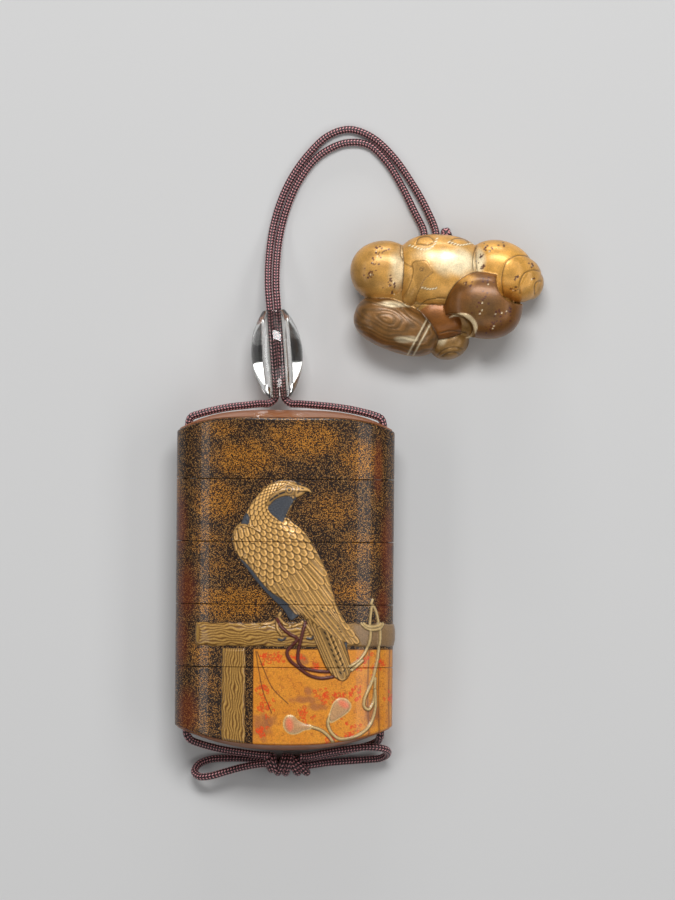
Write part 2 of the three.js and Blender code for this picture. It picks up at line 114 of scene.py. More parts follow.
CORD_RIGHT = [
    (35.6, 82.2, 7.4), (35.5, 84.6, 5.0), (35.3, 87.4, 2.5), (35.0, 90.6, 1.15), (32.6, 95.4, 1.0),
    (29.6, 101.4, 1.0), (25.4, 108.1, 1.0), (20.6, 112.5, 1.0), (15.4, 113.1, 1.0), (10.4, 111.3, 1.0),
    (6.4, 108.2, 1.0), (2.4, 102.4, 1.0), (-0.2, 96.3, 1.0), (-1.85, 90.2, 1.15), (-2.75, 83.3, 2.9),
    (-2.92, 76.0, 5.7), (-2.5, 70.4, 6.6), (-0.83, 49.2, 6.6), (-0.35, 46.8, 6.7), (1.2, 45.5, 7.3),
    (3.3, 45.4, 8.2), (6.9, 45.15, 9.7), (12.0, 44.7, 11.0), (17.6, 43.85, 11.38), (22.6, 42.6, 11.38),
    (24.35, 41.8, 11.38), (25.0, 40.4, 11.38), (25.0, -38.6, 11.38), (24.95, -40.0, 10.6),
    (24.7, -40.8, 8.6), (24.0, -41.6, 6.4), (21.6, -42.7, 4.4), (17.6, -43.7, 3.2), (12.4, -44.9, 2.4),
    (6.2, -46.0, 2.4),
]
LOOP_LEFT = [
    (-5.4, -47.6, 4.4), (-10.3, -48.4, 5.4), (-15.0, -49.7, 6.4), (-18.8, -50.8, 6.4),
    (-21.6, -51.0, 5.0), (-22.9, -49.7, 3.0), (-21.7, -47.8, 1.5), (-18.6, -46.6, 1.0),
    (-14.5, -46.3, 1.0), (-10.0, -46.3, 1.05), (-5.4, -46.6, 1.7),
]
LOOP_RIGHT = [
    (6.2, -45.6, 4.9), (10.7, -44.6, 6.8), (15.9, -43.6, 8.6), (21.0, -42.9, 9.4), (24.3, -43.0, 8.9),
    (26.5, -43.6, 7.0), (26.9, -44.7, 4.4), (25.2, -45.9, 2.2), (21.0, -46.4, 1.15), (15.9, -46.8, 1.0),
    (10.8, -47.3, 1.45), (6.2, -48.0, 2.6),
]
BOW_KNOT = (0.4, -47.6, 3.0)
END_KNOT = (40.75, 89.9, 1.35)

BEAD = {"centre": (-2.55, 58.3), "lean": 4.5, "half_length": 11.3, "end_radius": 2.8, "bore": 2.5}
BEAD_SIDES = 128
BEAD_STATIONS = 41
BEAD_REACH = 0.995  # share of the bead's length that the barrel's curve takes up
BEAD_BEVEL = 0.12
BEAD_SMOOTH_ANGLE = 40

NETSUKE_CENTRE = (41.0, 72.8)
NETSUKE_SUNK = 0.3
NETSUKE_FULLNESS = 2.5
NETSUKE_STEP = 0.08  # of its picture
NETSUKE_VOXEL = 0.25
SNAIL_CROWN = {"at": (19.0, 5.2), "radii": (5.6, 6.0), "turn": -20, "top": 12.8}
SHELLS = {
    "heap": {"at": (-1.0, 1.0), "radii": (18.5, 11.0), "turn": -4, "top": 12.4, "squareness": 2.3},
    "clam": {"at": (-16.3, 7.1), "radii": (8.5, 7.8), "turn": 8, "top": 14.4, "squareness": 2.1},
    "great_shell": {"at": (-1.8, 7.0), "radii": (11.6, 9.6), "turn": -3, "top": 15.8, "squareness": 2.5},
    "razor_shell": {"at": (-8.4, 4.6), "radii": (3.0, 7.6), "turn": -14, "top": 14.9},
    "snail": {"at": (13.8, 7.9), "radii": (9.2, 7.2), "turn": -20, "top": 14.6},
    "snail_crown": SNAIL_CROWN,
    "snail_tip": {"at": (22.2, 3.9), "radii": (2.9, 3.9), "turn": -14, "top": 10.2},
    "half_shell": {"at": (9.6, -1.5), "radii": (10.1, 8.7), "turn": -6, "under": 4.0, "top": 18.6,
                   "squareness": 2.3},
    "ribbed_clam": {"at": (-12.6, -7.1), "radii": (11.5, 6.6), "turn": -20, "under": 0.8, "top": 14.8,
                    "squareness": 2.5},
    "inner_clam": {"at": (-1.9, -4.7), "radii": (8.0, 6.4), "turn": -12, "top": 12.9},
    "small_snail": {"at": (0.9, -11.3), "radii": (5.3, 4.2), "turn": 22, "top": 10.4},
}
HALF_SHELL_NOTCHES = [
    {"at": (1.4, -9.2), "radii": (6.0, 5.4), "turn": 10, "under": 5.0, "top": 30.0},
    {**SNAIL_CROWN, "radii": (6.2, 6.6), "under": -1.0, "top": 30.0},
]
NETSUKE_HOLE_RADIUS = 1.2


# ---- What a user would change ---------------------------------------------------------------------------


def linear(code):
    """A colour written as six hexadecimal digits, as linear light."""
    parts = [int(code[i : i + 2], 16) / 255 for i in (0, 2, 4)]
    return tuple(p / 12.92 if p <= 0.04045 else ((p + 0.055) / 1.055) ** 2.4 for p in parts)


def length_property(label, text, metres):
    return bpy.props.FloatProperty(name=label, description=text, default=metres, unit="LENGTH")


def colour_property(label, text, code):
    return bpy.props.FloatVectorProperty(
        name=label, description=text, default=linear(code), subtype="COLOR", size=3, min=0, max=1
    )


class InroSizes(bpy.types.PropertyGroup):
    """Driving sizes of the inro."""

    half_width: length_property("Half width", "Half of the case's width", 0.028)
    half_depth: length_property("Half depth", "Half of the case's depth", 0.0115)
    back_flat: length_property("Back flat", "How much the case's back is flattened", 0.00012)
    bird_edge: length_property("Bird's edge", "Height of the bird's outline", 0.0003)
    bird_crown: length_property("Bird's crown", "What the bird's middle adds", 0.0006)
    log_height: length_property("Log", "Height of the perch's log", 0.00055)
    post_height: length_property("Post", "Height of the perch's post", 0.00035)
    bead_radius: length_property("Bead", "Radius of the bead", 0.00665)
    cord_diameter: length_property("Cord", "Thickness of the silk cord", 0.0019)


class InroColours(bpy.types.PropertyGroup):
    """Colours of the inro's finishes."""

    lacquer: colour_property("Lacquer", "Ground of the lacquer", "1e1008")
    warm_lacquer: colour_property("Warm lacquer", "Ground where it turns red", "5c240c")
    plain_lacquer: colour_property("Plain lacquer", "Lacquer of the two ends", "965e38")
    cloud_lacquer: colour_property("Cloud lacquer", "Ground in the clouds of gold", "2e1808")
    dim_flake: colour_property("Dim flake", "Gold between the clouds", "8e5e2e")
    dim_pale_flake: colour_property("Dim pale flake", "The palest gold between the clouds", "ba8c50")
    flake: colour_property("Gold flake", "Gold in the clouds", "b87424")
    pale_flake: colour_property("Pale flake", "The palest of the gold in the clouds", "e09c40")
    gold: colour_property("Gold", "Raised gold lacquer", "ba8f52")
    gold_line: colour_property("Gold line", "The lines between feathers", "241407")
    slate: colour_property("Slate", "Throat and underside of the bird", "45484e")
    wood_gold: colour_property("Wood gold", "The perch", "b48a46")
    wood_line: colour_property("Wood line", "The grain of the perch", "5e3a14")
    bare_wood: colour_property("Bare wood", "The log beyond the bird", "907350")
    cloth: colour_property("Cloth", "The cloth that hangs from the perch", "dc9030")
    cloth_shade: colour_property("Cloth shade", "The cloth's darker clouds", "a0603c")
    curl: colour_property("Curl", "The red curls on the cloth", "d8481a")
    jess: colour_property("Jess", "The thongs on the bird's legs", "5a2820")
    leash: colour_property("Leash", "The cord of the leash", "c8aa74")
    tassel: colour_property("Tassel", "The tassels of the leash", "e07c58")
    shell_gold: colour_property("Shell gold", "The netsuke's bright shells", "cf9a4c")
    # shell_pale is also the colour of the netsuke's painted highlights
    shell_pale: colour_property("Pale shell", "The palest part of the netsuke", "f8e8c0")
    shell_brown: colour_property("Brown shell", "The netsuke's darker shells", "96703c")
    shell_dot: colour_property("Dots", "Dots on the netsuke", "4a1408")
    # painted light: the silk colour on the crests of the braid stands in for its sheen, and silk_shade in
    # its depths is painted shade
    silk: colour_property("Silk", "The crests of the braid", "f4a8ac")
    silk_shade: colour_property("Silk shade", "The depths of the braid", "1c020a")
    floor: colour_property("Floor", "The floor around the object", "c8c8c8")


def sizes():
    return bpy.context.scene.inro_sizes


def colour(name):
    return np.array(getattr(bpy.context.scene.inro_colours, name)[:])


# ---- Small tools ----------------------------------------------------------------------------------------

LINE_STEPS = 24  # points of a curve between two of the points that it is drawn through


def deselect():
    if bpy.context.object and bpy.context.object.mode != "OBJECT":
        bpy.ops.object.mode_set(mode="OBJECT")
    bpy.ops.object.select_all(action="DESELECT")


def pick(piece):
    deselect()
    piece.select_set(True)
    bpy.context.view_layer.objects.active = piece


def settle(piece):
    """Puts a piece's place into its mesh."""
    pick(piece)
    bpy.ops.object.transform_apply(location=True, rotation=True, scale=True)


def finish_piece(piece, name, material, slot, *nodes):
    """Names a piece, gives it its material and enters it in the frame."""
    settle(piece)
    piece.name = piece.data.name = name
    piece.data.materials.clear()
    piece.data.materials.append(material)
    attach(piece, BODY)
    if nodes:
        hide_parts(*nodes)


def smooth_step(value):
    value = np.clip(value, 0, 1)
    return value * value * (3 - 2 * value)


def soft(value, width):
    """0 well below zero, 1 well above it, over `width`."""
    return smooth_step(0.5 + value / width)


def mix(a, b, share):
    """A blend of two numbers, or of two colours, whose last axis holds their three channels."""
    share = np.asarray(share, float)
    if any(np.ndim(c) and np.shape(c)[-1] == 3 for c in (a, b)):
        share = share[..., None]
    return a * (1 - share) + b * share


def run_along(line):
    """How far along a line each of its points is."""
    return np.concatenate([[0], np.cumsum(np.linalg.norm(np.diff(line, axis=0), axis=1))])


def through(points, spacing, closed=False):
    """Points at an even spacing along the centripetal Catmull-Rom curve through `points`."""
    points = np.array(points, float)
    if closed:
        points = np.vstack([points[-1], points, points[:2]])
    else:
        points = np.vstack([2 * points[0] - points[1], points, 2 * points[-1] - points[-2]])
    line = []
    for p0, p1, p2, p3 in zip(points, points[1:], points[2:], points[3:]):
        t1, t2, t3 = np.cumsum([np.linalg.norm(b - a) ** 0.5 for a, b in ((p0, p1), (p1, p2), (p2, p3))])
        t = np.linspace(t1, t2, LINE_STEPS, endpoint=False)[:, None]
        a1 = (t1 - t) / t1 * p0 + t / t1 * p1
        a2 = (t2 - t) / (t2 - t1) * p1 + (t - t1) / (t2 - t1) * p2
        a3 = (t3 - t) / (t3 - t2) * p2 + (t - t2) / (t3 - t2) * p3
        b1 = (t2 - t) / t2 * a1 + t / t2 * a2
        b2 = (t3 - t) / (t3 - t1) * a2 + (t - t1) / (t3 - t1) * a3
        line.append((t2 - t) / (t2 - t1) * b1 + (t - t1) / (t2 - t1) * b2)
    line = np.vstack(line + ([line[0][:1]] if closed else [points[-2:-1]]))
    run = run_along(line)
    at = np.linspace(0, run[-1], max(2, int(round(run[-1] / spacing)) + 1))
    even = np.stack([np.interp(at, run, line[:, i]) for i in range(line.shape[1])], axis=1)
    return even[:-1] if closed else even


def quads_between(count, around, closed=False):
    """The faces between neighbouring rings of as many points each."""
    i, j = np.meshgrid(np.arange(count if closed else count - 1), np.arange(around), indexing="ij")
    next_i, next_j = (i + 1) % count, (j + 1) % around
    corners = [i * around + j, i * around + next_j, next_i * around + next_j, next_i * around + j]
    return np.stack(corners, axis=-1).reshape(-1, 4).tolist()


def loft(rings, start, end):
    """Points and faces of a closed form: rings of as many points each, closed on a point at each end."""
    count, around = len(rings), len(rings[0])
    points = np.vstack([*rings, [start], [end]])
    j = np.arange(around)
    first = np.stack([np.full(around, count * around), (j + 1) % around, j], axis=-1)
    last = (count - 1) * around
    final = np.stack([np.full(around, count * around + 1), last + j, last + (j + 1) % around], axis=-1)
    return points, quads_between(count, around) + first.tolist() + final.tolist()


def mesh_piece(name, points, faces, attributes):
    """A new mesh object. Attributes are arrays with a value, or a colour, for each point."""
    mesh = bpy.data.meshes.new(name)
    mesh.from_pydata((np.asarray(points) * MM).tolist(), [], faces)
    for label, values in attributes.items():
        put_attribute(mesh, label, values)
    if signed_volume(mesh) < 0:
        mesh.flip_normals()
    piece = bpy.data.objects.new(name, mesh)
    bpy.context.collection.objects.link(piece)
    return piece


def put_attribute(mesh, label, values):
    values = np.asarray(values, np.float32)
    if values.ndim == 2:
        full = np.ones((len(values), 4), np.float32)
        full[:, :3] = values
        made = mesh.attributes.new(label, "FLOAT_COLOR", "POINT")
        made.data.foreach_set("color", full.ravel())
    else:
        made = mesh.attributes.new(label, "FLOAT", "POINT")
        made.data.foreach_set("value", values.ravel())


def mesh_points(mesh):
    flat = np.empty(len(mesh.vertices) * 3, np.float32)
    mesh.vertices.foreach_get("co", flat)
    return flat.reshape(-1, 3).astype(float) / MM


def signed_volume(mesh):
    mesh.calc_loop_triangles()
    corners = np.empty(len(mesh.loop_triangles) * 3, np.int32)
    mesh.loop_triangles.foreach_get("vertices", corners)
    a, b, c = (mesh_points(mesh)[corners.reshape(-1, 3)[:, i]] for i in range(3))
    return float(np.einsum("ij,ij->i", a, np.cross(b, c)).sum())


def cut(piece, tools, operation="DIFFERENCE"):
    """Cuts a piece by each tool, or joins each tool to it, and removes the tools."""
    for tool in tools:
        pick(piece)
        modifier = piece.modifiers.new("cut", "BOOLEAN")
        modifier.operation = operation
        modifier.solver = "MANIFOLD"
        modifier.object = tool
        bpy.ops.object.modifier_apply(modifier=modifier.name)
        bpy.data.objects.remove(tool)
    return piece


def rod(centre, along, length, radius, sides=32):
    """A cylinder about `centre`, along a direction, all in millimetres."""
    deselect()
    turn = Vector((0, 0, 1)).rotation_difference(Vector(along)).to_euler()
    bpy.ops.mesh.primitive_cylinder_add(
        vertices=sides, radius=radius * MM, depth=length * MM, rotation=turn,
        location=[c * MM for c in centre],
    )
    made = bpy.context.object
    settle(made)
    return made


# ---- A picture: what is painted and raised on a surface -------------------------------------------------

SOFT_EDGE = 0.14  # over which a painted edge fades
STROKE_STEP = 0.4  # between the points of a painted line
STROKE_SHADOW = 0.12  # how far beyond a raised line its painted shadow reaches
FEATHER_GILT = 0.75
BARB_PITCH = 0.55
RIM_HIGHLIGHT_WIDTH = 0.17  # of the painted highlight, a pale line near a feather's edge


class Picture:
    """A grid of points over a surface, each with a height, a colour and how much of it is painted."""

    def __init__(self, low, high, step):
        self.low, self.step = low, step
        self.x = np.arange(low[0], high[0] + step, step)
        self.y = np.arange(low[1], high[1] + step, step)
        shape = (len(self.y), len(self.x))
        self.layers = {
            "pad": np.zeros(shape), "fine": np.zeros(shape), "figure": np.zeros(shape),
            "gilt": np.zeros(shape), "paint": np.zeros(shape + (3,)),
        }

    def window(self, points, margin):
        """The part of the grid around some points: its slices, and its points' places."""
        points = np.asarray(points, float)
        low = (points.min(0) - margin - self.low) / self.step
        high = (points.max(0) + margin - self.low) / self.step
        x0, y0 = (max(0, int(v)) for v in low)
        x1, y1 = int(high[0]) + 2, int(high[1]) + 2
        part = (slice(y0, max(y0, y1)), slice(x0, max(x0, x1)))
        X, Y = np.meshgrid(self.x[part[1]], self.y[part[0]])
        return part, X, Y

    def lay(self, part, mask, **values):
        """Lays colour, gilt or height over a part of the grid, where the mask is 1."""
        for name, value in values.items():
            layer = self.layers[name]
            layer[part] = mix(layer[part], np.asarray(value, float), mask)
        if "paint" in values and "figure" not in values:
            self.layers["figure"][part] = np.maximum(self.layers["figure"][part], mask)

    def lift(self, part, height):
        """Raises the fine relief to at least this height."""
        fine = self.layers["fine"]
        fine[part] = np.maximum(fine[part], height)

    def sample(self, name, x, y):
        layer = self.layers[name]
        fx = np.clip((x - self.low[0]) / self.step, 0, len(self.x) - 1.001)
        fy = np.clip((y - self.low[1]) / self.step, 0, len(self.y) - 1.001)
        i, j = fx.astype(int), fy.astype(int)
        u, v = fx - i, fy - j
        if layer.ndim == 3:
            u, v = u[..., None], v[..., None]
        return (layer[j, i] * (1 - u) * (1 - v) + layer[j, i + 1] * u * (1 - v)
                + layer[j + 1, i] * (1 - u) * v + layer[j + 1, i + 1] * u * v)


def away_from(X, Y, line, closed=False):
    """Distance of each place from a line, and how far along the line its nearest point is."""
    line = np.asarray(line, float)
    if closed:
        line = np.vstack([line, line[:1]])
    nearest = np.full(X.shape, np.inf)
    along = np.zeros(X.shape)
    run = 0.0
    for (ax, ay), (bx, by) in zip(line[:-1], line[1:]):
        dx, dy = bx - ax, by - ay
        length = math.hypot(dx, dy)
        if length == 0:
            continue
        t = np.clip(((X - ax) * dx + (Y - ay) * dy) / length**2, 0, 1)
        d = np.hypot(X - ax - t * dx, Y - ay - t * dy)
        closer = d < nearest
        nearest = np.where(closer, d, nearest)
        along = np.where(closer, run + t * length, along)
        run += length
    return nearest, along


def depth_inside(X, Y, outline):
    """Distance from an outline, positive inside it and negative outside."""
    outline = np.asarray(outline, float)
    inside = np.zeros(X.shape, bool)
    for (ax, ay), (bx, by) in zip(outline, np.roll(outline, -1, axis=0)):
        if ay == by:
            continue
        crosses = (ay > Y) != (by > Y)
        inside ^= crosses & (X < ax + (Y - ay) * (bx - ax) / (by - ay))
    nearest, _ = away_from(X, Y, outline, closed=True)
    return np.where(inside, nearest, -nearest)


def stroke(picture, points, width, rise, paint, edge, gilt=0.0, taper=0.0):
    """A raised cord or painted line along a smooth curve. Its colour runs from `edge` at its sides to
    `paint` on its crown, partly an outline and partly painted shade across the round; a raised one has a
    painted shadow beside it.
    """
    line = through(points, STROKE_STEP)
    part, X, Y = picture.window(line, width)
    distance, along = away_from(X, Y, line)
    length = STROKE_STEP * (len(line) - 1)
    radius = width / 2 * (1 - taper * along / length)
    share = np.clip(distance / radius, 0, 1)
    crown = np.sqrt(1 - share**2)
    # painted shadow: a darker band just beyond a raised line
    shadow = soft(radius + STROKE_SHADOW - distance, SOFT_EDGE) * (0.5 if rise else 0)
    picture.lay(part, shadow, paint=edge)
    # painted shade, partly an outline: the colour darkens from the crown towards the sides
    picture.lay(part, soft(radius - distance, SOFT_EDGE), paint=mix(edge, paint, crown), gilt=gilt)
    if rise:
        picture.lift(part, rise * crown * (distance < radius))


def feather(picture, tip, direction, length, width, rise, paint, edge, barbs=0.0, clip=None, gap=0.3):
    """One feather, higher at its rounded tip than at its root. It is painted lighter towards its tip,
    painted light where it rises, with a painted highlight as a pale rim `gap` inside its edge, and a dark
    band along its edge that is partly the line between feathers and partly painted shade.
    """
    tip = np.asarray(tip, float)
    direction = np.asarray(direction, float) / np.hypot(*direction)
    root = tip - direction * length
    part, X, Y = picture.window([tip, root], width)
    u = (X - root[0]) * direction[0] + (Y - root[1]) * direction[1]
    v = -(X - root[0]) * direction[1] + (Y - root[1]) * direction[0]
    half = width / 2
    beyond = np.clip((u - (length - half * 1.3)) / (half * 1.3), 0, 1)
    reach = half * np.sqrt(1 - beyond**2)
    margin = np.minimum(reach - np.abs(v), np.minimum(u, length - u) + 0.02)
    mask = soft(margin, 0.1)
    if clip is not None:
        mask = mask * soft(depth_inside(X, Y, clip) + 0.15, 0.2)
    across = np.clip(np.abs(v) / half, 0, 1)
    height = rise * (u / length) - 0.5 * rise * across**2
    # painted shade, partly the line between feathers: the colour darkens towards the feather's edge
    bright = smooth_step(margin / gap)
    # painted highlight: a pale line along the rim
    rim = np.exp(-(((margin - gap - 0.1) / RIM_HIGHLIGHT_WIDTH) ** 2))
    # painted light: lighter towards the tip, where the feather rises
    tone = paint * (0.52 + 0.4 * u / length + rim)[..., None]
    if barbs:
        slant = np.abs(v) * 0.9 + u
        bright = bright * (1 - barbs * (0.5 + 0.5 * np.cos(slant * 2 * math.pi / BARB_PITCH)))
        bright = bright * smooth_step(0.45 + np.abs(v) / 0.2)
    picture.lay(part, mask, paint=mix(edge, tone, bright), fine=height, gilt=FEATHER_GILT)


def shape(picture, outline, rise, paint, edge, edge_width=0.3, crown=1.0, gilt=0.0):
    """A raised form with a smooth outline and a rounded edge."""
    outline = through(outline, STROKE_STEP, closed=True)
    part, X, Y = picture.window(outline, 0.6)
    depth = depth_inside(X, Y, outline)
    tone = mix(edge, paint, smooth_step(depth / edge_width))
    picture.lay(part, soft(depth, SOFT_EDGE), paint=tone, gilt=gilt)
    if rise:
        picture.lift(part, rise * np.sqrt(smooth_step(depth / crown)))


# ---- The case's wall ------------------------------------------------------------------------------------


class Wall:
    """The case's oval wall, measured by the way round it from the middle of the front."""

    TURNS = 8001  # how many places round the oval are measured

    def __init__(self):
        self.a, self.b = sizes().half_width / MM, sizes().half_depth / MM
        self.axis_z = self.b - sizes().back_flat / MM
        self.t = np.linspace(-math.pi, math.pi, self.TURNS)
        pace = np.hypot(self.a * np.cos(self.t), self.b * np.sin(self.t))
        run = np.concatenate([[0], np.cumsum((pace[1:] + pace[:-1]) / 2 * np.diff(self.t))])
        self.s = run - run[len(run) // 2]
        self.reach = self.s[-1]

    def turn(self, s):
        return np.interp(s, self.s, self.t)

    def way(self, x):
        """The way round to a point of the front that is `x` across."""
        return np.interp(np.arcsin(np.clip(np.asarray(x, float) / self.a, -1, 1)), self.t, self.s)

    def ways(self, points):
        points = np.asarray(points, float)
        return np.stack([self.way(points[:, 0]), points[:, 1]], axis=1)

    def columns(self):
        """Places round the wall: closest together over the bird, and widest apart on the back."""
        fine_reach = self.way(self.a) + PAST_THE_FRONT
        low, high = (self.way(x) for x in BIRD_ZONE)
        stretches = [(-fine_reach, low, FINE_STEP), (low, high, BIRD_STEP), (high, fine_reach, FINE_STEP),
                     (fine_reach, 2 * self.reach - fine_reach, COARSE_STEP)]
        places = np.concatenate([np.linspace(a, b, round((b - a) / step), endpoint=False)
                                 for a, b, step in stretches])
        return np.where(places > self.reach, places - 2 * self.reach, places)


def dome_height(wall, x, z, towards):
    """The lengthwise place of a domed end over a point of the section."""
    apex, form = (LID_APEX, LID_END) if towards > 0 else (BASE_APEX, BASE_END)
    fall = (form["rise"] + form["drop"]) * np.abs(x / wall.a) ** form["fullness"]
    return apex - towards * (fall + form["rise"] * ((z - wall.axis_z) / wall.b) ** 2)


# ---- The picture on the case ----------------------------------------------------------------------------

# Soft clouds of denser gold: across, along, half-width, half-length and strength.
CLOUDS = [
    (4.5, 36.0, 10.5, 5.2, 1.0), (-10.5, 31.3, 10.0, 5.0, 1.0), (19.5, 31.0, 6.5, 5.6, 0.95),
    (-17.5, 38.5, 6.5, 2.6, 0.7), (-17.5, 20.3, 6.5, 5.4, 1.0), (12.6, 18.4, 8.5, 5.0, 0.6),
    (-20.5, 10.5, 6.0, 4.2, 0.6), (20.0, 9.0, 7.0, 5.0, 0.65), (15.5, 3.0, 5.0, 3.4, 0.4),
    (-18.0, 3.5, 6.0, 3.2, 0.5), (17.4, -2.6, 6.0, 3.6, 0.75), (-13.5, -5.8, 11.0, 4.6, 1.0),
    (23.5, 21.0, 4.0, 4.0, 0.4), (-21.5, -19.0, 4.5, 3.6, 0.7), (-19.5, -27.0, 5.0, 3.6, 0.45),
    (-20.5, -36.5, 5.5, 4.6, 0.45),
]
# Where the lacquer turns red: across, along, half-width and half-length.
WARM = [
    (-27.0, 14.0, 3.0, 9.0), (-25.5, -3.0, 4.0, 8.0), (-26.5, -16.0, 3.0, 8.0), (-25.0, -34.0, 4.0, 7.0),
    (26.6, 8.0, 3.0, 12.0), (23.8, 29.0, 1.6, 8.0), (25.5, -6.0, 2.6, 5.0),
]
BACK_CLOUDS = 16
GROUND_SEED, CLOTH_SEED, BIRD_SEED, DOT_SEED = 7, 11, 3, 5


def paint_ground(picture, wall):
    """Where the sprinkled gold is dense, and where the lacquer turns red."""
    S, Y = np.meshgrid(picture.x, picture.y)
    rng = np.random.default_rng(GROUND_SEED)
    cloud, warm = np.zeros(S.shape), np.zeros(S.shape)
    edge = wall.way(wall.a)
    spots = [(wall.way(x), y, w, h, k) for x, y, w, h, k in CLOUDS]
    for _ in range(BACK_CLOUDS):
        place = edge + rng.uniform(2, 2 * (wall.reach - edge) - 2)
        place = place - 2 * wall.reach if place > wall.reach else place
        spots.append((place, rng.uniform(-40, 40), rng.uniform(5, 9), rng.uniform(3.5, 5.5), 0.8))
    ripple = 0.16 * np.sin(S * 0.9 + 2 * np.sin(Y * 0.35)) + 0.12 * np.sin(Y * 1.3 + S * 0.5)
    for x, y, w, h, strength in spots:
        apart = np.abs(S - x)
        apart = np.minimum(apart, 2 * wall.reach - apart)
        reach = np.hypot(apart / w, (Y - y) / h) + ripple * 0.6
        cloud = np.maximum(cloud, strength * smooth_step((1.5 - reach) / 1.3))
    for x, y, w, h in WARM:
        reach = np.hypot((S - wall.way(x)) / w, (Y - y) / h)
        warm = np.maximum(warm, smooth_step(1.3 - reach))
    warm = np.maximum(warm, 0.3 * smooth_step((np.abs(S) - edge + 3) / 5))
    picture.layers["cloud"], picture.layers["warm"] = cloud, warm


GRAIN_PITCH = {"x": 0.74, "y": 0.66}  # of the log and of the post
BARE_FROM = 14.5  # the log is bare beyond the bird
LOG_RIDGES, POST_RIDGES = 0.022, 0.02


def wood(X, Y, run):
    """Wavy grain that runs along `run` and is drawn across it, from -1 to 1."""
    across = Y if run == "x" else X
    along = X if run == "x" else Y
    bend = 0.3 * np.sin(along * 0.5 + 0.9 * np.sin(across * 0.8))
    bend = bend + 0.16 * np.sin(along * 1.9 + across * 1.6)
    fork = 0.42 * np.sin(along * 0.8 + 2.0) * np.sin(across * 1.5)
    return np.sin(2 * math.pi * (across / GRAIN_PITCH[run] + bend + fork))


def paint_grain(picture, part, from_edge, grain, share, tones, lift, depth):
    """Lays a piece of wood: its grain from dark to light, a dark edge, its height and its fine ridges."""
    line, light = tones
    paint = mix(line, light, share)
    paint = mix(line * 0.6, paint, smooth_step(from_edge / 0.3 + 0.2))
    picture.lay(part, soft(from_edge, 0.16), paint=paint, gilt=0.1, pad=lift)
    picture.lift(part, np.where(from_edge > 0.2, depth * (grain + 1), 0))


def paint_perch(picture, wall):
    """The log across the front, and the post under it."""
    gold, line, bare = colour("wood_gold"), colour("wood_line"), colour("bare_wood")
    left, right = wall.way(LOG["left"]), LOG["right"]
    top, bottom = LOG["top"], LOG["bottom"]
    part, X, Y = picture.window([(left, bottom), (right, top)], 1.0)
    middle, half = (top + bottom) / 2, (top - bottom) / 2
    knots = 0.12 * np.sin(X * 0.8) + 0.07 * np.sin(X * 2.1 + 1)
    from_edge = half - np.abs(Y - middle) + knots * np.sign(Y - middle)
    from_edge = np.minimum(from_edge, np.minimum(X - left - 0.35 * ((Y - middle) / half) ** 2, right - X))
    grain = wood(X, Y, "x")
    calm = smooth_step((X - BARE_FROM) / 5)
    share = smooth_step(0.62 + 0.5 * grain) * (1 - calm) + 0.82 * calm
    rounding = 0.5 * smooth_step(from_edge / 0.5) + 0.5 * smooth_step(from_edge / 2.2)
    lift = sizes().log_height / MM * rounding
    tones = (line, mix(gold, bare, calm))
    paint_grain(picture, part, from_edge, grain, share, tones, lift, LOG_RIDGES * (1 - calm))
    end = [(left + 0.95 + 0.75 * math.cos(a), middle + half * 0.9 * math.sin(a))
           for a in np.linspace(0, 2 * math.pi, 16, endpoint=False)]
    shape(picture, end, 0.08, gold * 0.85, line, 0.4, 0.6, 0.4)
    left, right = (wall.way(POST[side]) for side in ("left", "right"))
    part, X, Y = picture.window([(left, BASE_APEX), (right, POST["top"])], 1.0)
    from_edge = np.minimum(X - left, right - X) + 0.07 * np.sin(Y * 1.1)
    from_edge = np.minimum(from_edge, POST["top"] - Y)
    grain = wood(X, Y, "y")
    lift = sizes().post_height / MM * smooth_step(from_edge / 0.8)
    share = smooth_step(0.6 + 0.55 * grain)
    paint_grain(picture, part, from_edge, grain, share, (line, gold), lift, POST_RIDGES)


# Where the red curls are on the cloth: across, along and how widely they are strewn.
CURL_CLUSTERS = [
    (-4.6, -20.0, 1.9), (-1.0, -19.6, 1.6), (3.6, -19.4, 1.4), (8.4, -21.6, 1.2), (-5.4, -27.6, 1.6),
    (-4.6, -32.4, 2.4), (9.8, -29.2, 2.2), (14.6, -30.2, 2.0), (18.6, -28.8, 1.8), (5.6, -35.0, 2.0),
    (17.8, -38.4, 2.6), (12.6, -41.0, 1.6), (20.6, -20.4, 2.0), (25.2, -21.0, 2.0), (31.0, -30.0, 2.4),
    (36.0, -22.0, 2.2), (35.0, -38.0, 2.4), (41.0, -30.0, 2.2), (-6.0, -39.0, 1.6),
]
# The cloth's darker clouds: across, along, half-width and half-length.
CLOTH_CLOUDS = [
    (-5.6, -37.4, 2.2, 3.4), (-3.4, -36.0, 1.6, 1.2), (5.6, -30.4, 3.6, 0.9), (8.6, -32.2, 2.6, 0.9),
    (6.4, -28.2, 1.2, 0.9), (5.0, -20.4, 1.4, 1.2), (23.5, -34.0, 2.4, 3.0),
]
CLOTH_FOLDS = [21.9, 24.6, 27.2, 31.5, 36.0, 40.5]
CURLS, CURL_SPREAD = 15, 1.8  # so many curls where they are strewn this widely
CURL_POINTS = 6
PALE_CURLS = 420  # the faint ones all over the cloth
CLOTH_TIES = (
    [(-7.2, -18.2), (-6.4, -23.0), (-5.2, -28.6), (-3.0, -34.0)],
    [(-6.9, -18.2), (-5.2, -22.6), (-2.8, -27.6), (1.2, -31.6)],
)


def arc_about(place, radii, angles):
    """Places round a middle, each at its own angle and radius."""
    return place + np.stack([radii * np.cos(angles), radii * np.sin(angles)], axis=-1)


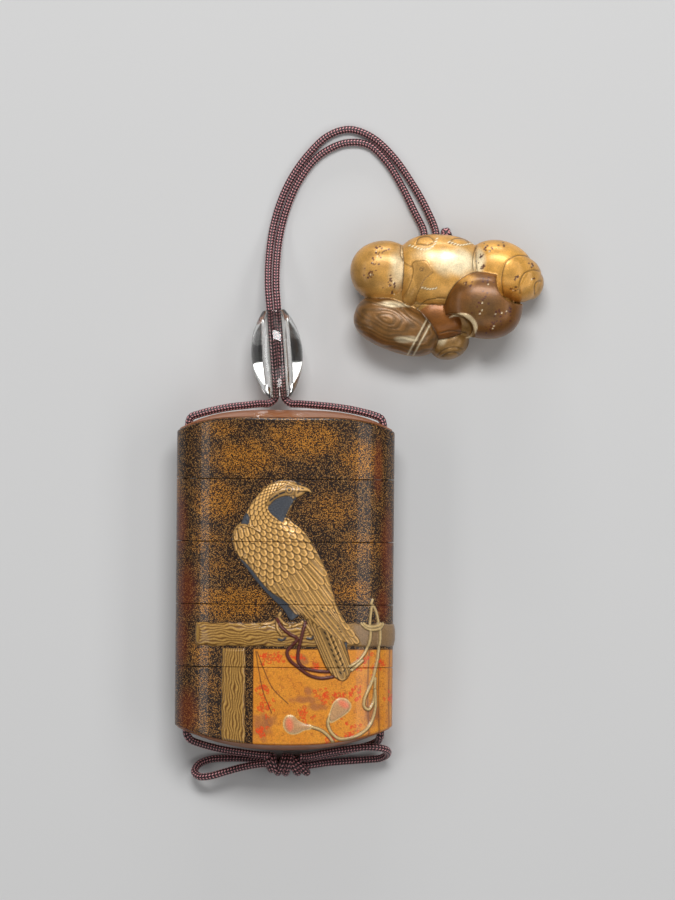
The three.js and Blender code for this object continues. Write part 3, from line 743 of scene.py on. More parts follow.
def paint_cloth(picture, wall):
    """The hanging cloth: gold ground, soft clouds, small red curls, folds at its right."""
    left, right, top = wall.way(CLOTH["left"]), CLOTH["right"], CLOTH["top"]
    part, X, Y = picture.window([(left, BASE_APEX), (right, top)], 0.6)
    from_edge = np.minimum(np.minimum(X - left, right - X), top - Y)
    ground, shade, curl = colour("cloth"), colour("cloth_shade"), colour("curl")
    blotch = 0.5 + 0.25 * np.sin(X * 0.7 + 1.4 * np.sin(Y * 0.5)) + 0.25 * np.sin(Y * 0.9 + X * 0.3)
    paint = mix(ground, ground * np.array([0.88, 0.76, 0.68]), 0.7 * blotch)
    for x, y, w, h in CLOTH_CLOUDS:
        reach = np.hypot((X - x) / w, (Y - y) / h) + 0.16 * np.sin(X * 2.3 + Y) + 0.12 * np.sin(Y * 3.1)
        paint = mix(paint, shade, 0.75 * smooth_step(1.5 - reach))
    for fold in CLOTH_FOLDS:
        line = wall.way(fold) if fold < wall.a else fold
        away = np.abs(X - line - 0.35 * np.sin((Y + 18) * 0.16))
        crease = 0.75 * smooth_step(1 - away / 0.3) + 0.22 * smooth_step(1 - away / 1.3)
        paint = mix(paint, shade * 0.45, crease)
    paint = mix(shade * 0.3, paint, smooth_step(from_edge / 0.3))
    picture.lay(part, soft(from_edge, SOFT_EDGE), paint=paint, gilt=0.2)
    beside = wall.ways([(POST["right"] + 0.1, BASE_APEX), (CLOTH["left"], top + 0.2)])
    # Between the post and the cloth the lacquer is bare.
    picture.layers["cloud"][picture.window(beside, 0.3)[0]] = 0
    rng = np.random.default_rng(CLOTH_SEED)
    for x, y, spread in CURL_CLUSTERS:
        for _ in range(int(CURLS * spread / CURL_SPREAD)):
            place = np.array([x, y]) + rng.normal(0, spread * 0.5, 2)
            if not left + 0.8 < place[0] < right - 0.8 or place[1] > top - 0.8:
                continue
            start, radius = rng.uniform(0, 2 * math.pi), rng.uniform(0.3, 0.62)
            angles = start + np.linspace(0, rng.uniform(3.2, 5.2), CURL_POINTS)
            arc = arc_about(place, radius * np.linspace(1, 0.55, CURL_POINTS), angles)
            stroke(picture, arc, 0.27, 0, curl, curl)
    for _ in range(PALE_CURLS):
        place = np.array([rng.uniform(left + 1, right - 1), rng.uniform(-43, top - 1)])
        angles = rng.uniform(0, 6) + np.linspace(0, 3, 4)
        stroke(picture, arc_about(place, 0.35, angles), 0.2, 0, ground * np.array([0.7, 0.55, 0.45]), shade)
    for tie in CLOTH_TIES:
        stroke(picture, wall.ways(tie), 0.24, 0, shade * 0.3, shade * 0.3)


WING_START = 15.0  # how far down the spine the wings begin
SCALES_END = 28.5  # and how far down it the small feathers end
SPINE_STEP = 0.1
SPINE = [
    (2.2, 25.0), (-0.6, 23.6), (-3.4, 20.6), (-4.8, 17.4), (-4.4, 13.8), (-1.8, 10.2), (1.8, 6.0),
    (5.2, 1.6),
]
# How wide a small feather is, and how far the rows reach to each side, at some places down the spine.
SCALE_WIDTHS = ([0, 7, 10, 16, 25], [0.62, 0.85, 1.1, 1.75, 2.2])
SCALE_REACHES = ([0, 5, 10, 14, 19, 26], [2.2, 4.2, 7.0, 11.0, 12.0, 12.0])
THROAT = [
    (-4.4, 18.7), (-3.2, 20.3), (-0.9, 21.7), (1.7, 21.4), (2.1, 20.3), (1.1, 18.6), (0.2, 16.6),
    (-0.6, 15.0), (-2.4, 16.1), (-3.9, 17.5),
]
CHEEK = [
    (-4.9, 19.4), (-4.0, 21.4), (-2.4, 23.0), (-0.4, 24.2), (2.4, 24.7), (3.4, 23.2), (2.4, 21.9),
    (-0.4, 21.6), (-2.8, 20.5), (-4.0, 19.2),
]
BEAK = [
    (2.9, 24.6), (4.6, 24.3), (6.2, 23.6), (7.0, 22.3), (6.2, 22.6), (5.4, 22.7), (4.2, 21.8), (2.6, 21.3),
]
BROW = [(-1.8, 23.4), (-0.2, 24.4), (1.6, 24.75), (3.2, 24.2)]
EYE = (1.0, 23.3)
SHOULDER = [(-13.0, 11.6), (-12.8, 12.9), (-11.9, 13.9), (-10.6, 14.2), (-8.4, 13.6), (-6.2, 12.4)]
NAPE = [(-9.9, 17.3), (-9.0, 16.2), (-9.3, 14.3), (-11.2, 14.1), (-11.1, 15.2)]
WING = [
    (-13.3, 12.0), (-12.4, 14.0), (-10.8, 14.9), (-8.6, 14.6), (-4.0, 15.2), (0.4, 15.9), (2.0, 14.6),
    (4.0, 13.2), (5.9, 10.9), (7.6, 8.3), (9.2, 5.1), (10.9, 1.5), (12.0, -2.3), (13.2, -6.3),
    (15.7, -10.8), (19.9, -16.6), (14.4, -15.0), (9.0, -11.4), (4.4, -8.2), (0.7, -5.5), (-3.1, -3.1),
    (-5.4, -0.6), (-9.3, 4.2), (-11.8, 6.4), (-13.0, 9.0),
]
# Tiers of long feathers, the lowest first: tips, roots, how many, width, shade and barbs.
TIERS = (
    ([(4.6, -8.4), (9.4, -11.8), (14.6, -15.2), (19.4, -16.6), (16.6, -12.4), (14.4, -8.6)],
     [(-10.6, 6.0), (-5.0, 5.4), (1.0, 3.6), (5.0, 2.6), (8.0, 4.0), (9.4, 4.6)], 13, 1.75, 0.94, 0.16),
    ([(-3.6, -2.6), (2.0, -5.2), (7.6, -7.8), (12.0, -7.4), (13.0, -4.6), (12.0, -1.4)],
     [(-11.6, 8.2), (-7.0, 7.6), (-2.0, 6.2), (3.0, 5.0), (7.0, 6.6), (8.0, 7.0)], 13, 1.8, 1.0, 0.14),
    ([(-8.6, 3.6), (-4.0, 1.0), (0.8, -1.4), (5.6, -2.8), (9.2, -1.8), (10.8, 0.8), (10.4, 3.6)],
     [(-12.2, 10.8), (-8.0, 9.4), (-4.0, 7.6), (0.0, 6.4), (4.6, 6.8), (6.2, 8.6)], 12, 1.95, 1.04, 0.12),
)
SPECKS = 24  # dark ones, down the wing
LEG_FEATHERS = ((3.6, -8.6), (5.2, -9.6), (6.6, -10.8))
TAIL = [
    (7.0, -9.0), (12.4, -10.6), (16.6, -19.4), (17.1, -23.6), (15.4, -25.7), (13.2, -24.9), (10.5, -21.8),
]
# The tips of the tail's feathers and their widths.
TAIL_FEATHERS = (
    (16.7, -22.8, 1.5), (16.3, -24.4, 1.5), (11.4, -22.6, 0.9), (12.4, -23.8, 0.9), (13.5, -24.9, 1.0),
    (15.3, -25.6, 2.5),
)
CHEVRONS = 8


def turned(way, angle):
    """A direction in the plane, turned to the left."""
    return np.array([way[0] * math.cos(angle) - way[1] * math.sin(angle),
                     way[0] * math.sin(angle) + way[1] * math.cos(angle)])


def scale_feathers(picture, outline, wing):
    """Rows of small feathers that grow from the head to the back, laid from the lowest row up."""
    line = through(SPINE, SPINE_STEP)
    gold, edge = colour("gold"), colour("gold_line")
    u, rows = 0.5, []
    while u < SCALES_END:
        width = np.interp(u, *SCALE_WIDTHS)
        rows.append((u, width))
        u += width * 0.76
    for row, (u, width) in reversed(list(enumerate(rows))):
        i = min(int(u / SPINE_STEP), len(line) - 3)
        ahead = line[i + 2] - line[i]
        ahead /= np.hypot(*ahead)
        beside = np.array([-ahead[1], ahead[0]])
        half = np.interp(u, *SCALE_REACHES)
        count = int(half / width) + 1
        for k in range(-count, count + 1):
            v = (k + 0.5 * (row % 2)) * width * 0.97
            if abs(v) > half:
                continue
            tip = line[i] + beside * v - ahead * 0.16 * v * v / half
            feather(picture, tip, turned(ahead, 0.42 * v / half), width * 1.9, width, 0.1 + 0.09 * width,
                    gold, edge, clip=outline if u < WING_START else wing, gap=0.2 + 0.09 * width)


def long_feathers(picture, clip, tips, roots, count, width, shade, barbs):
    """A tier of long feathers, side by side, from a line of roots to a line of tips."""
    tips, roots = through(tips, 0.2), through(roots, 0.2)
    gold, edge = colour("gold") * shade, colour("gold_line")
    for k in range(count):
        share = k / (count - 1)
        tip = tips[int(share * (len(tips) - 1))]
        root = roots[int(share * (len(roots) - 1))]
        length = np.hypot(*(tip - root))
        feather(picture, tip, tip - root, length, width, 0.26, gold, edge, barbs, clip, 0.26)


def paint_bird(picture, wall):
    """The bird of prey on its perch, turned to the right."""
    outline = wall.ways(through(BIRD_OUTLINE, 0.5, closed=True))
    wing = wall.ways(through(WING, 0.5, closed=True))
    part, X, Y = picture.window(outline, 1.0)
    depth = depth_inside(X, Y, outline)
    slate, gold, edge = colour("slate"), colour("gold"), colour("gold_line")
    height = sizes().bird_edge / MM + sizes().bird_crown / MM * smooth_step(depth / 2.5)
    inside = soft(depth, 0.16)
    picture.lay(part, inside, paint=mix(slate * 0.6, slate, smooth_step(depth / 0.4)), fine=0.0, gilt=0.15)
    layer = picture.layers["pad"]
    layer[part] = np.maximum(layer[part], height * inside)
    for tip in LEG_FEATHERS:
        feather(picture, tip, (0.62, -0.78), 3.4, 1.5, 0.14, mix(gold, slate, 0.35), edge, 0.2, outline)
    shape(picture, wing, 0.0, gold * 0.6, gold * 0.5, 0.3, 1.0, 0.6)
    paint_tail(picture, wall, outline)
    for tier in TIERS:
        long_feathers(picture, wing, *tier)
    rng = np.random.default_rng(BIRD_SEED)
    for _ in range(SPECKS):
        place = mix(np.array([-4.0, 3.0]), np.array([14.0, -12.6]), rng.uniform(0, 1))
        place = place + rng.normal(0, 1.5, 2)
        stroke(picture, [place, place + (0.16, -0.16)], 0.3, 0, edge * 0.15, edge * 0.2)
    scale_feathers(picture, outline, wing)
    shape(picture, wall.ways(NAPE), 0.0, slate, slate * 0.6, 0.3, 1.0, 0.1)
    stroke(picture, wall.ways(SHOULDER), 0.5, 0.34, gold * 1.1, edge * 0.6, 0.7)
    paint_head(picture, wall)


def paint_tail(picture, wall, outline):
    """The tail: long feathers side by side, with dark chevrons down their middle."""
    gold, edge = colour("gold") * 0.86, colour("gold_line")
    shape(picture, wall.ways(TAIL), 0.1, gold * 0.9, edge, 0.3, 1.0, 0.6)
    for x, y, width in TAIL_FEATHERS:
        feather(picture, wall.ways([(x, y)])[0], (0.4, -0.92), 15.5, width, 0.2, gold, edge, 0.12, outline)
    for k in range(CHEVRONS):
        x, y = 10.9 + 0.56 * k, -12.8 - 1.45 * k
        for side in (-1, 1):
            start = np.array([x + side * 0.7, y + 0.3 * side])
            dash = wall.ways([start, start + np.array([-0.4 * side, -0.55])])
            stroke(picture, dash, 0.34, 0, edge * 0.15, edge * 0.15)


def paint_head(picture, wall):
    """The cheek, brow, eye and hooked beak over the small feathers of the head."""
    slate, gold, edge = colour("slate"), colour("gold"), colour("gold_line")
    pale, black = gold * 1.2, np.full(3, 0.012)
    shape(picture, wall.ways(THROAT), 0.12, slate, slate * 0.5, 0.3, 1.0, 0.1)
    shape(picture, wall.ways(CHEEK), 0.2, gold * 0.8, edge, 0.35, 0.9, 0.7)
    shape(picture, wall.ways(BEAK), 0.3, pale, edge, 0.3, 0.8, 0.3)
    flat_lines = (
        ([(3.0, 22.8), (4.6, 22.9), (6.0, 22.8)], 0.28, edge * 0.3),
        ([(3.3, 24.3), (3.5, 23.4), (3.2, 22.4)], 0.26, edge * 0.5),
        ([(4.2, 23.7), (4.6, 23.6)], 0.34, black),
        ([(-0.2, 22.7), (-1.4, 22.2)], 0.5, slate * 0.35),
        ([(-1.9, 21.9), (-2.7, 21.4)], 0.5, slate * 0.35),
        ([(-3.1, 21.1), (-3.8, 20.5)], 0.5, slate * 0.35),
    )
    for line, width, tone in flat_lines:
        stroke(picture, wall.ways(line), width, 0, tone, tone)
    stroke(picture, wall.ways(BROW), 0.5, 0.3, pale, edge, 0.75)
    eye = wall.ways([EYE])[0]
    round_eye = np.linspace(0, 5.5, 8)
    shape(picture, arc_about(eye, 1.0, round_eye), 0.2, black * 2, black * 2, 0.1, 0.4, 0.1)
    shape(picture, arc_about(eye, 0.76, round_eye), 0.3, pale, pale * 0.8, 0.2, 0.5, 0.3)
    shape(picture, arc_about(eye, 0.4, round_eye), 0.34, black, black, 0.1, 0.3, 0.0)


TOES = (
    [(-1.0, -8.4), (-1.7, -9.8), (-3.0, -10.8), (-5.8, -11.2)],
    [(-1.7, -9.6), (-1.7, -12.2), (-0.6, -14.0)], [(-1.4, -9.6), (0.0, -11.0), (0.8, -11.4)],
    [(4.6, -10.9), (3.2, -11.4), (2.2, -11.8)], [(4.6, -10.6), (6.1, -11.9), (7.1, -13.7)],
)
CLAWS = ([(-1.3, -15.1), (-0.4, -15.3), (0.4, -14.7)], [(6.0, -14.8), (6.9, -14.9), (7.4, -14.2)])
THONGS = (
    [(-1.8, -9.9), (-0.7, -11.8), (1.4, -13.7), (3.4, -14.9), (2.2, -16.5), (0.8, -18.3), (1.5, -20.3),
     (3.7, -22.2), (6.7, -24.3), (9.7, -25.0), (12.6, -24.6)],
    [(5.4, -10.7), (4.8, -13.0), (4.1, -16.0), (3.6, -19.0), (3.8, -20.9), (5.2, -22.3), (8.2, -23.1),
     (11.4, -23.3)],
)
LEASH = (
    [(16.9, -21.9), (18.2, -21.2), (19.6, -20.0), (21.0, -17.9), (21.8, -15.0), (22.0, -10.0), (22.6, -6.2),
     (23.1, -6.9), (23.9, -9.4), (24.3, -13.7), (24.1, -19.0), (23.3, -23.2), (22.4, -26.4),
     (20.8, -30.2), (20.7, -32.2), (21.8, -33.0), (22.9, -31.4), (23.3, -28.4), (23.4, -25.0)],
    [(22.2, -5.9), (22.6, -4.8)],
    [(19.8, -10.9), (20.8, -12.0), (22.6, -12.5), (24.4, -12.0), (25.2, -10.9)],
    [(20.4, -10.9), (21.2, -11.5), (22.6, -11.7), (23.9, -11.4), (24.6, -10.9)],
    [(17.3, -22.9), (18.6, -21.9), (20.2, -20.4)],
    [(23.4, -28.0), (23.5, -32.6), (22.3, -36.8), (20.0, -39.1), (17.0, -40.4), (14.2, -40.4),
     (12.2, -38.7), (11.4, -36.4), (11.9, -34.8)],
    [(13.2, -41.9), (11.6, -39.8), (9.7, -38.3), (7.4, -37.5)],
)
TASSELS = (
    [(7.4, -37.1), (7.2, -38.0), (5.4, -38.4), (3.6, -39.3), (1.6, -39.3), (0.2, -38.0), (0.0, -36.0),
     (1.0, -34.5), (2.6, -34.6), (3.8, -35.8), (5.4, -36.6)],
    [(11.4, -35.9), (12.2, -36.4), (14.2, -35.4), (17.0, -33.2), (17.4, -31.8), (16.2, -30.3),
     (14.2, -30.0), (12.8, -31.2), (12.0, -33.4)],
)
# The soft ends of the tassels: place, half-width, half-length and turn.
TASSEL_ENDS = (((1.6, -36.9), 1.3, 2.1, 0.15), ((15.4, -31.6), 1.2, 1.9, 1.0))
THONG_RISE = 0.42
THONG_WIDTH = 0.84
TASSEL_RISE = 0.3


def paint_thongs(picture, wall):
    """The bird's feet, the thongs on its legs, and the leash with its tassels."""
    gold, edge, jess = colour("gold"), colour("gold_line"), colour("jess")
    leash, tassel, slate = colour("leash"), colour("tassel"), colour("slate")
    for toes in TOES:
        stroke(picture, wall.ways(toes), 1.0, THONG_RISE, gold, edge, 0.5, 0.3)
    for claw in CLAWS:
        stroke(picture, wall.ways(claw), 0.6, THONG_RISE, slate, slate * 0.5, 0.2, 0.4)
    for thong in THONGS:
        stroke(picture, wall.ways(thong), THONG_WIDTH, THONG_RISE, jess, jess * 0.4)
    for rope in LEASH:
        stroke(picture, wall.ways(rope), THONG_WIDTH, THONG_RISE, leash, edge * 0.7, 0.3)
    for outline in TASSELS:
        shape(picture, wall.ways(outline), TASSEL_RISE, leash * 1.1, leash * 1.1, 0.1, 1.6, 0.3)
        inner = mix(np.mean(outline, axis=0), np.asarray(outline), 0.86)
        tone = mix(leash, tassel, 0.3) * 0.8
        shape(picture, wall.ways(inner), TASSEL_RISE, tone, edge * 1.4, 0.12, 1.6, 0.1)
    for place, half_width, half_length, turn in TASSEL_ENDS:
        end = [place + turned((half_width * math.cos(a), half_length * math.sin(a)), turn)
               for a in np.linspace(0, 2 * math.pi, 14, endpoint=False)]
        shape(picture, wall.ways(end), TASSEL_RISE, tassel, mix(leash, tassel, 0.4) * 0.8, 0.9, 1.6, 0.0)


def case_picture(wall):
    picture = Picture((-wall.reach, BASE_APEX - 1), (wall.reach, LID_APEX + 1), PAINT_STEP)
    paint_ground(picture, wall)
    paint_cloth(picture, wall)
    paint_perch(picture, wall)
    paint_bird(picture, wall)
    paint_thongs(picture, wall)
    return picture


# ---- The five pieces of the case ------------------------------------------------------------------------


class Section:
    """The rings of one piece of the case, with the place on the picture of each of their points."""

    def __init__(self, wall, picture, columns):
        self.wall, self.picture, self.s = wall, picture, columns
        self.t = wall.turn(columns)
        self.rings, self.ys, self.outside, self.plain = [], [], [], []

    def add(self, x, y, z, outside=0.0, plain=0.0):
        ones = np.ones(len(self.s))
        self.rings.append(np.stack([x, y * ones, np.maximum(z, 0)], axis=1))
        self.ys.append(y * ones)
        self.outside.append(outside * ones)
        self.plain.append(plain * ones)

    def oval(self, half_width, half_depth, y):
        """A ring inside the case."""
        self.add(half_width * np.sin(self.t), y, self.wall.axis_z + half_depth * np.cos(self.t))

    def skin(self, y, inset=0.0, level=1.0, shown_y=None, plain=0.0):
        """A ring of the outer wall. Its picture is read at y, and it is set at shown_y."""
        wall = self.wall
        nx, nz = np.sin(self.t) / wall.a, np.cos(self.t) / wall.b
        size = np.hypot(nx, nz)
        height = self.picture.sample("pad", self.s, y) + self.picture.sample("fine", self.s, y)
        out = (height * level - inset) / size
        x = wall.a * np.sin(self.t) + nx * out
        z = wall.axis_z + wall.b * np.cos(self.t) + nz * out
        self.add(x, y if shown_y is None else shown_y, z, 1.0, plain)

    def dome(self, towards):
        """The rings of a domed end: from its middle outwards on the lid, and inwards on the base."""
        wall = self.wall
        shares = np.sin(np.linspace(0, math.pi / 2, DOME_RINGS))[1:] * DOME_REACH
        for share in shares[::towards]:
            x = wall.a * share * np.sin(self.t)
            z = wall.axis_z + wall.b * share * np.cos(self.t)
            self.add(x, dome_height(wall, x, z, towards), z, 0.0, 1.0)

    def inner_dome(self, towards):
        """The domed end of the hollow: inwards in the lid, and outwards in the base."""
        for share in np.sin(np.linspace(0, math.pi / 2, INNER_DOME_RINGS))[1:][::-towards]:
            x = CAVITY[0] * share * np.sin(self.t)
            z = self.wall.axis_z + CAVITY[1] * share * np.cos(self.t)
            self.add(x, dome_height(self.wall, x, z, towards) - towards * END_WALL, z)

    def wall_edge(self, towards):
        """Where the wall ends and the rounded edge of a domed end begins."""
        x, z = self.wall.a * np.sin(self.t), self.wall.axis_z + self.wall.b * np.cos(self.t)
        return dome_height(self.wall, x, z, towards) - towards * CORNER_RADIUS

    def corner(self, towards):
        """The rounded edge of a domed end: outwards on the lid, and inwards on the base."""
        edge = self.wall_edge(towards)
        for angle in np.linspace(math.pi / 2, math.pi / 8, CORNER_RINGS)[::towards]:
            inset = CORNER_RADIUS * (1 - math.cos(angle))
            shown = edge + towards * CORNER_RADIUS * math.sin(angle)
            self.skin(edge, inset, 0.0, shown, plain=1.0 if angle > 1 else 0.0)

    def piece(self, name, start, end):
        points, faces = loft(self.rings, start, end)
        s = np.concatenate([np.tile(self.s, len(self.rings)), [0, 0]])
        y = np.concatenate([*self.ys, [0, 0]])
        outside = np.concatenate([*self.outside, [0, 0]])
        marks = {layer: self.picture.sample(layer, s, y)
                 for layer in ("figure", "gilt", "paint", "cloud", "warm")}
        for layer in ("figure", "gilt"):
            marks[layer] = marks[layer] * outside
        marks["plain"] = np.concatenate([*self.plain, [self.plain[0][0], self.plain[-1][0]]])
        return mesh_piece(name, points, faces, marks)


def rows_between(section, first, last, step):
    """The rows of the outer wall between two edges, whose places may vary round it."""
    ones = np.ones(len(section.s))
    first, last = first * ones, last * ones
    count = int(np.ceil(np.abs(first - last).max() / step)) + 1
    for share in np.linspace(0, 1, count):
        section.skin(mix(first, last, share))


def case_piece(name, wall, picture, columns, index):
    """One piece of the case, as one closed form: 0 is the lid, 4 the base box."""
    section = Section(wall, picture, columns)
    axis = wall.axis_z
    riser = [c + RISER_WALL for c in CAVITY]
    socket = [c + RISER_PLAY for c in riser]
    is_lid, is_base = index == 0, index == len(JOINTS)
    if is_lid:
        start = (0, LID_APEX, axis)
        section.dome(1)
        section.corner(1)
        top = section.wall_edge(1)
    else:
        joint = JOINTS[index - 1]
        high = joint - JOINT_GAP / 2
        if is_base:
            start = (0, BASE_APEX + END_WALL, axis)
            section.inner_dome(-1)
        else:
            floor = JOINTS[index] + RISER_HEIGHT + HEADROOM + FLOOR
            start = (0, floor, axis)
            section.oval(CAVITY[0] - FLOOR_FILLET, CAVITY[1] - FLOOR_FILLET, floor)
            section.oval(*CAVITY, floor + FLOOR_FILLET)
        section.oval(*CAVITY, joint + RISER_HEIGHT)
        section.oval(*riser, joint + RISER_HEIGHT)
        section.oval(*riser, high)
        section.skin(high, EDGE_BEVEL)
        top = high - EDGE_BEVEL
    if is_base:
        rows_between(section, top, section.wall_edge(-1), ROW_STEPS[index])
        section.corner(-1)
        section.dome(-1)
        end = (0, BASE_APEX, axis)
    else:
        low, ceiling = JOINTS[index] + JOINT_GAP / 2, JOINTS[index] + RISER_HEIGHT + HEADROOM
        rows_between(section, top, low + EDGE_BEVEL, ROW_STEPS[index])
        section.skin(low, EDGE_BEVEL)
        section.oval(*socket, low)
        section.oval(*socket, ceiling)
        end = (0, ceiling, axis)
        if is_lid:
            section.oval(*CAVITY, ceiling)
            section.inner_dome(1)
            end = (0, LID_APEX - END_WALL, axis)
    piece = section.piece(name, start, end)
    middle, length = (LID_APEX + BASE_APEX) / 2, LID_APEX - BASE_APEX + 10
    bores = [rod((x, middle, axis), (0, 1, 0), length, CHANNEL_RADIUS, BORE_SIDES)
             for x in (-CHANNEL_X, CHANNEL_X)]
    return cut(piece, bores)


# ---- The bead -------------------------------------------------------------------------------------------


def make_bead():
    """The barrel of crystal: a ring drawn out along the bead, in steps, then back down its bore."""
    radius, half, bore = sizes().bead_radius / MM, BEAD["half_length"], BEAD["bore"]
    fall = radius - BEAD["end_radius"]
    arc = (half**2 + fall**2) / (2 * fall)
    rim = BEAD["end_radius"] - BEAD_BEVEL
    stations = [(bore, -half), (rim, -half)]
    for y in half * np.sin(np.linspace(-math.pi / 2, math.pi / 2, BEAD_STATIONS)) * BEAD_REACH:
        stations.append((radius - arc + math.sqrt(arc**2 - y**2), y))
    stations += [(rim, half), (bore, half)]
    deselect()
    bpy.ops.mesh.primitive_circle_add(vertices=BEAD_SIDES, radius=bore * MM, location=(0, 0, -half * MM))
    piece = bpy.context.object
    settle(piece)
    bpy.ops.object.mode_set(mode="EDIT")
    bpy.ops.mesh.select_all(action="SELECT")
    for (r0, y0), (r1, y1) in zip(stations, stations[1:]):
        bpy.ops.mesh.extrude_region_move(TRANSFORM_OT_translate={"value": (0, 0, (y1 - y0) * MM)})
        bpy.ops.transform.resize(value=(r1 / r0, r1 / r0, 1), center_override=(0, 0, y1 * MM))
    bpy.ops.mesh.extrude_region_move(TRANSFORM_OT_translate={"value": (0, 0, -2 * half * MM)})
    bpy.ops.mesh.select_all(action="SELECT")
    bpy.ops.mesh.remove_doubles(threshold=1e-6)
    bpy.ops.mesh.normals_make_consistent(inside=False)
    bpy.ops.object.mode_set(mode="OBJECT")
    bpy.ops.object.shade_smooth_by_angle(angle=math.radians(BEAD_SMOOTH_ANGLE))
    lean = Matrix.Rotation(math.radians(BEAD["lean"]), 4, "Z") @ Matrix.Rotation(-math.pi / 2, 4, "X")
    piece.matrix_world = Matrix.Translation(Vector((*BEAD["centre"], radius)) * MM) @ lean
    finish_piece(piece, "crystal_ojime", rock_crystal(), "rock_crystal", "ojime_bead")


# ---- The netsuke ----------------------------------------------------------------------------------------


LOBE_SEGMENTS, LOBE_RINGS = 128, 64


def shell_middle(form):
    """The height of a lobe's middle, and half of its own height."""
    under = form.get("under", -NETSUKE_SUNK)
    return (form["top"] + under) / 2, (form["top"] - under) / 2


def full_reach(a, b, power):
    """How far out a place is on a form that is a circle at the power 2 and squarer above it."""
    return (abs(a) ** power + abs(b) ** power) ** (1 / power)


def shell_lobe(form):
    """One rounded lobe of the netsuke, as in the solids."""
    deselect()
    bpy.ops.mesh.primitive_uv_sphere_add(segments=LOBE_SEGMENTS, ring_count=LOBE_RINGS, radius=1.0)
    piece = bpy.context.object
    middle, half = shell_middle(form)
    power = form.get("squareness", 2)
    for vertex in piece.data.vertices:
        x, y, z = vertex.co
        reach = math.hypot(x, y)
        fuller = 1 / full_reach(reach, z, NETSUKE_FULLNESS)
        corners = reach / full_reach(x, y, power) * fuller if reach > 1e-6 else fuller
        vertex.co = (x * corners * form["radii"][0], y * corners * form["radii"][1], z * fuller * half)
    turn = Matrix.Rotation(math.radians(form["turn"]), 4, "Z")
    place = Vector((NETSUKE_CENTRE[0] + form["at"][0], NETSUKE_CENTRE[1] + form["at"][1], middle))
    piece.data.transform(Matrix.Scale(MM, 4) @ Matrix.Translation(place) @ turn)
    return piece


def lobe_height(form, X, Y):
    """How high a lobe's upper side is about the netsuke's middle, and the lobe's own coordinates."""
    turn = math.radians(form["turn"])
    x, y = X - form["at"][0], Y - form["at"][1]
    u = (x * math.cos(turn) + y * math.sin(turn)) / form["radii"][0]
    v = (-x * math.sin(turn) + y * math.cos(turn)) / form["radii"][1]
    reach = full_reach(u, v, form.get("squareness", 2))
    middle, half = shell_middle(form)
    fall = np.clip(1 - reach**NETSUKE_FULLNESS, 0, 1) ** (1 / NETSUKE_FULLNESS)
    return np.where(reach < 1, middle + half * fall, 0.0), u, v


# The rim of the half shell where a piece is broken out of it.
BROKEN_EDGE = [
    (0.8, -4.8), (2.4, -4.2), (4.3, -4.2), (6.2, -5.1), (7.3, -6.6), (7.4, -8.0), (6.6, -9.4), (5.2, -10.0),
]

# Painted highlights on the shells, and darker places: across, along, half-width, half-length, strength,
# colour, tone.
NETSUKE_HIGHLIGHTS_AND_DARK_PATCHES = [
    ("great_shell", 2.6, 9.4, 5.6, 3.2, 0.85, "shell_pale", 1.0),
    ("great_shell", -5.5, 11.5, 3.0, 1.8, 0.35, "shell_pale", 1.0),
    ("clam", -11.8, 7.6, 2.6, 4.6, 0.6, "shell_pale", 1.0),
    ("clam", -22.0, 4.5, 3.6, 5.0, 0.3, "shell_brown", 0.45),
    ("snail", 8.2, 9.6, 1.5, 3.0, 0.85, "shell_pale", 1.0),
    ("half_shell", 5.0, 5.0, 2.6, 1.5, 0.7, "shell_gold", 1.0),
    ("half_shell", 9.4, -2.6, 4.6, 3.4, 0.6, "shell_brown", 0.45),
    ("ribbed_clam", -12.4, -1.4, 4.4, 0.8, 0.95, "shell_pale", 1.0),
    ("ribbed_clam", -10.2, -10.6, 2.6, 0.8, 0.6, "shell_pale", 1.0),
    ("small_snail", -1.0, -10.4, 1.2, 1.4, 0.5, "shell_pale", 1.0),
]

# Shells that run into one another, with no painted crease shade between them.
SHELL_GROUPS = [
    ("great_shell", "razor_shell"), ("snail", "snail_crown", "snail_tip"), ("clam",), ("half_shell",),
    ("ribbed_clam",), ("inner_clam",), ("small_snail",),
]
WHOLE = (slice(None), slice(None))  # all of a picture


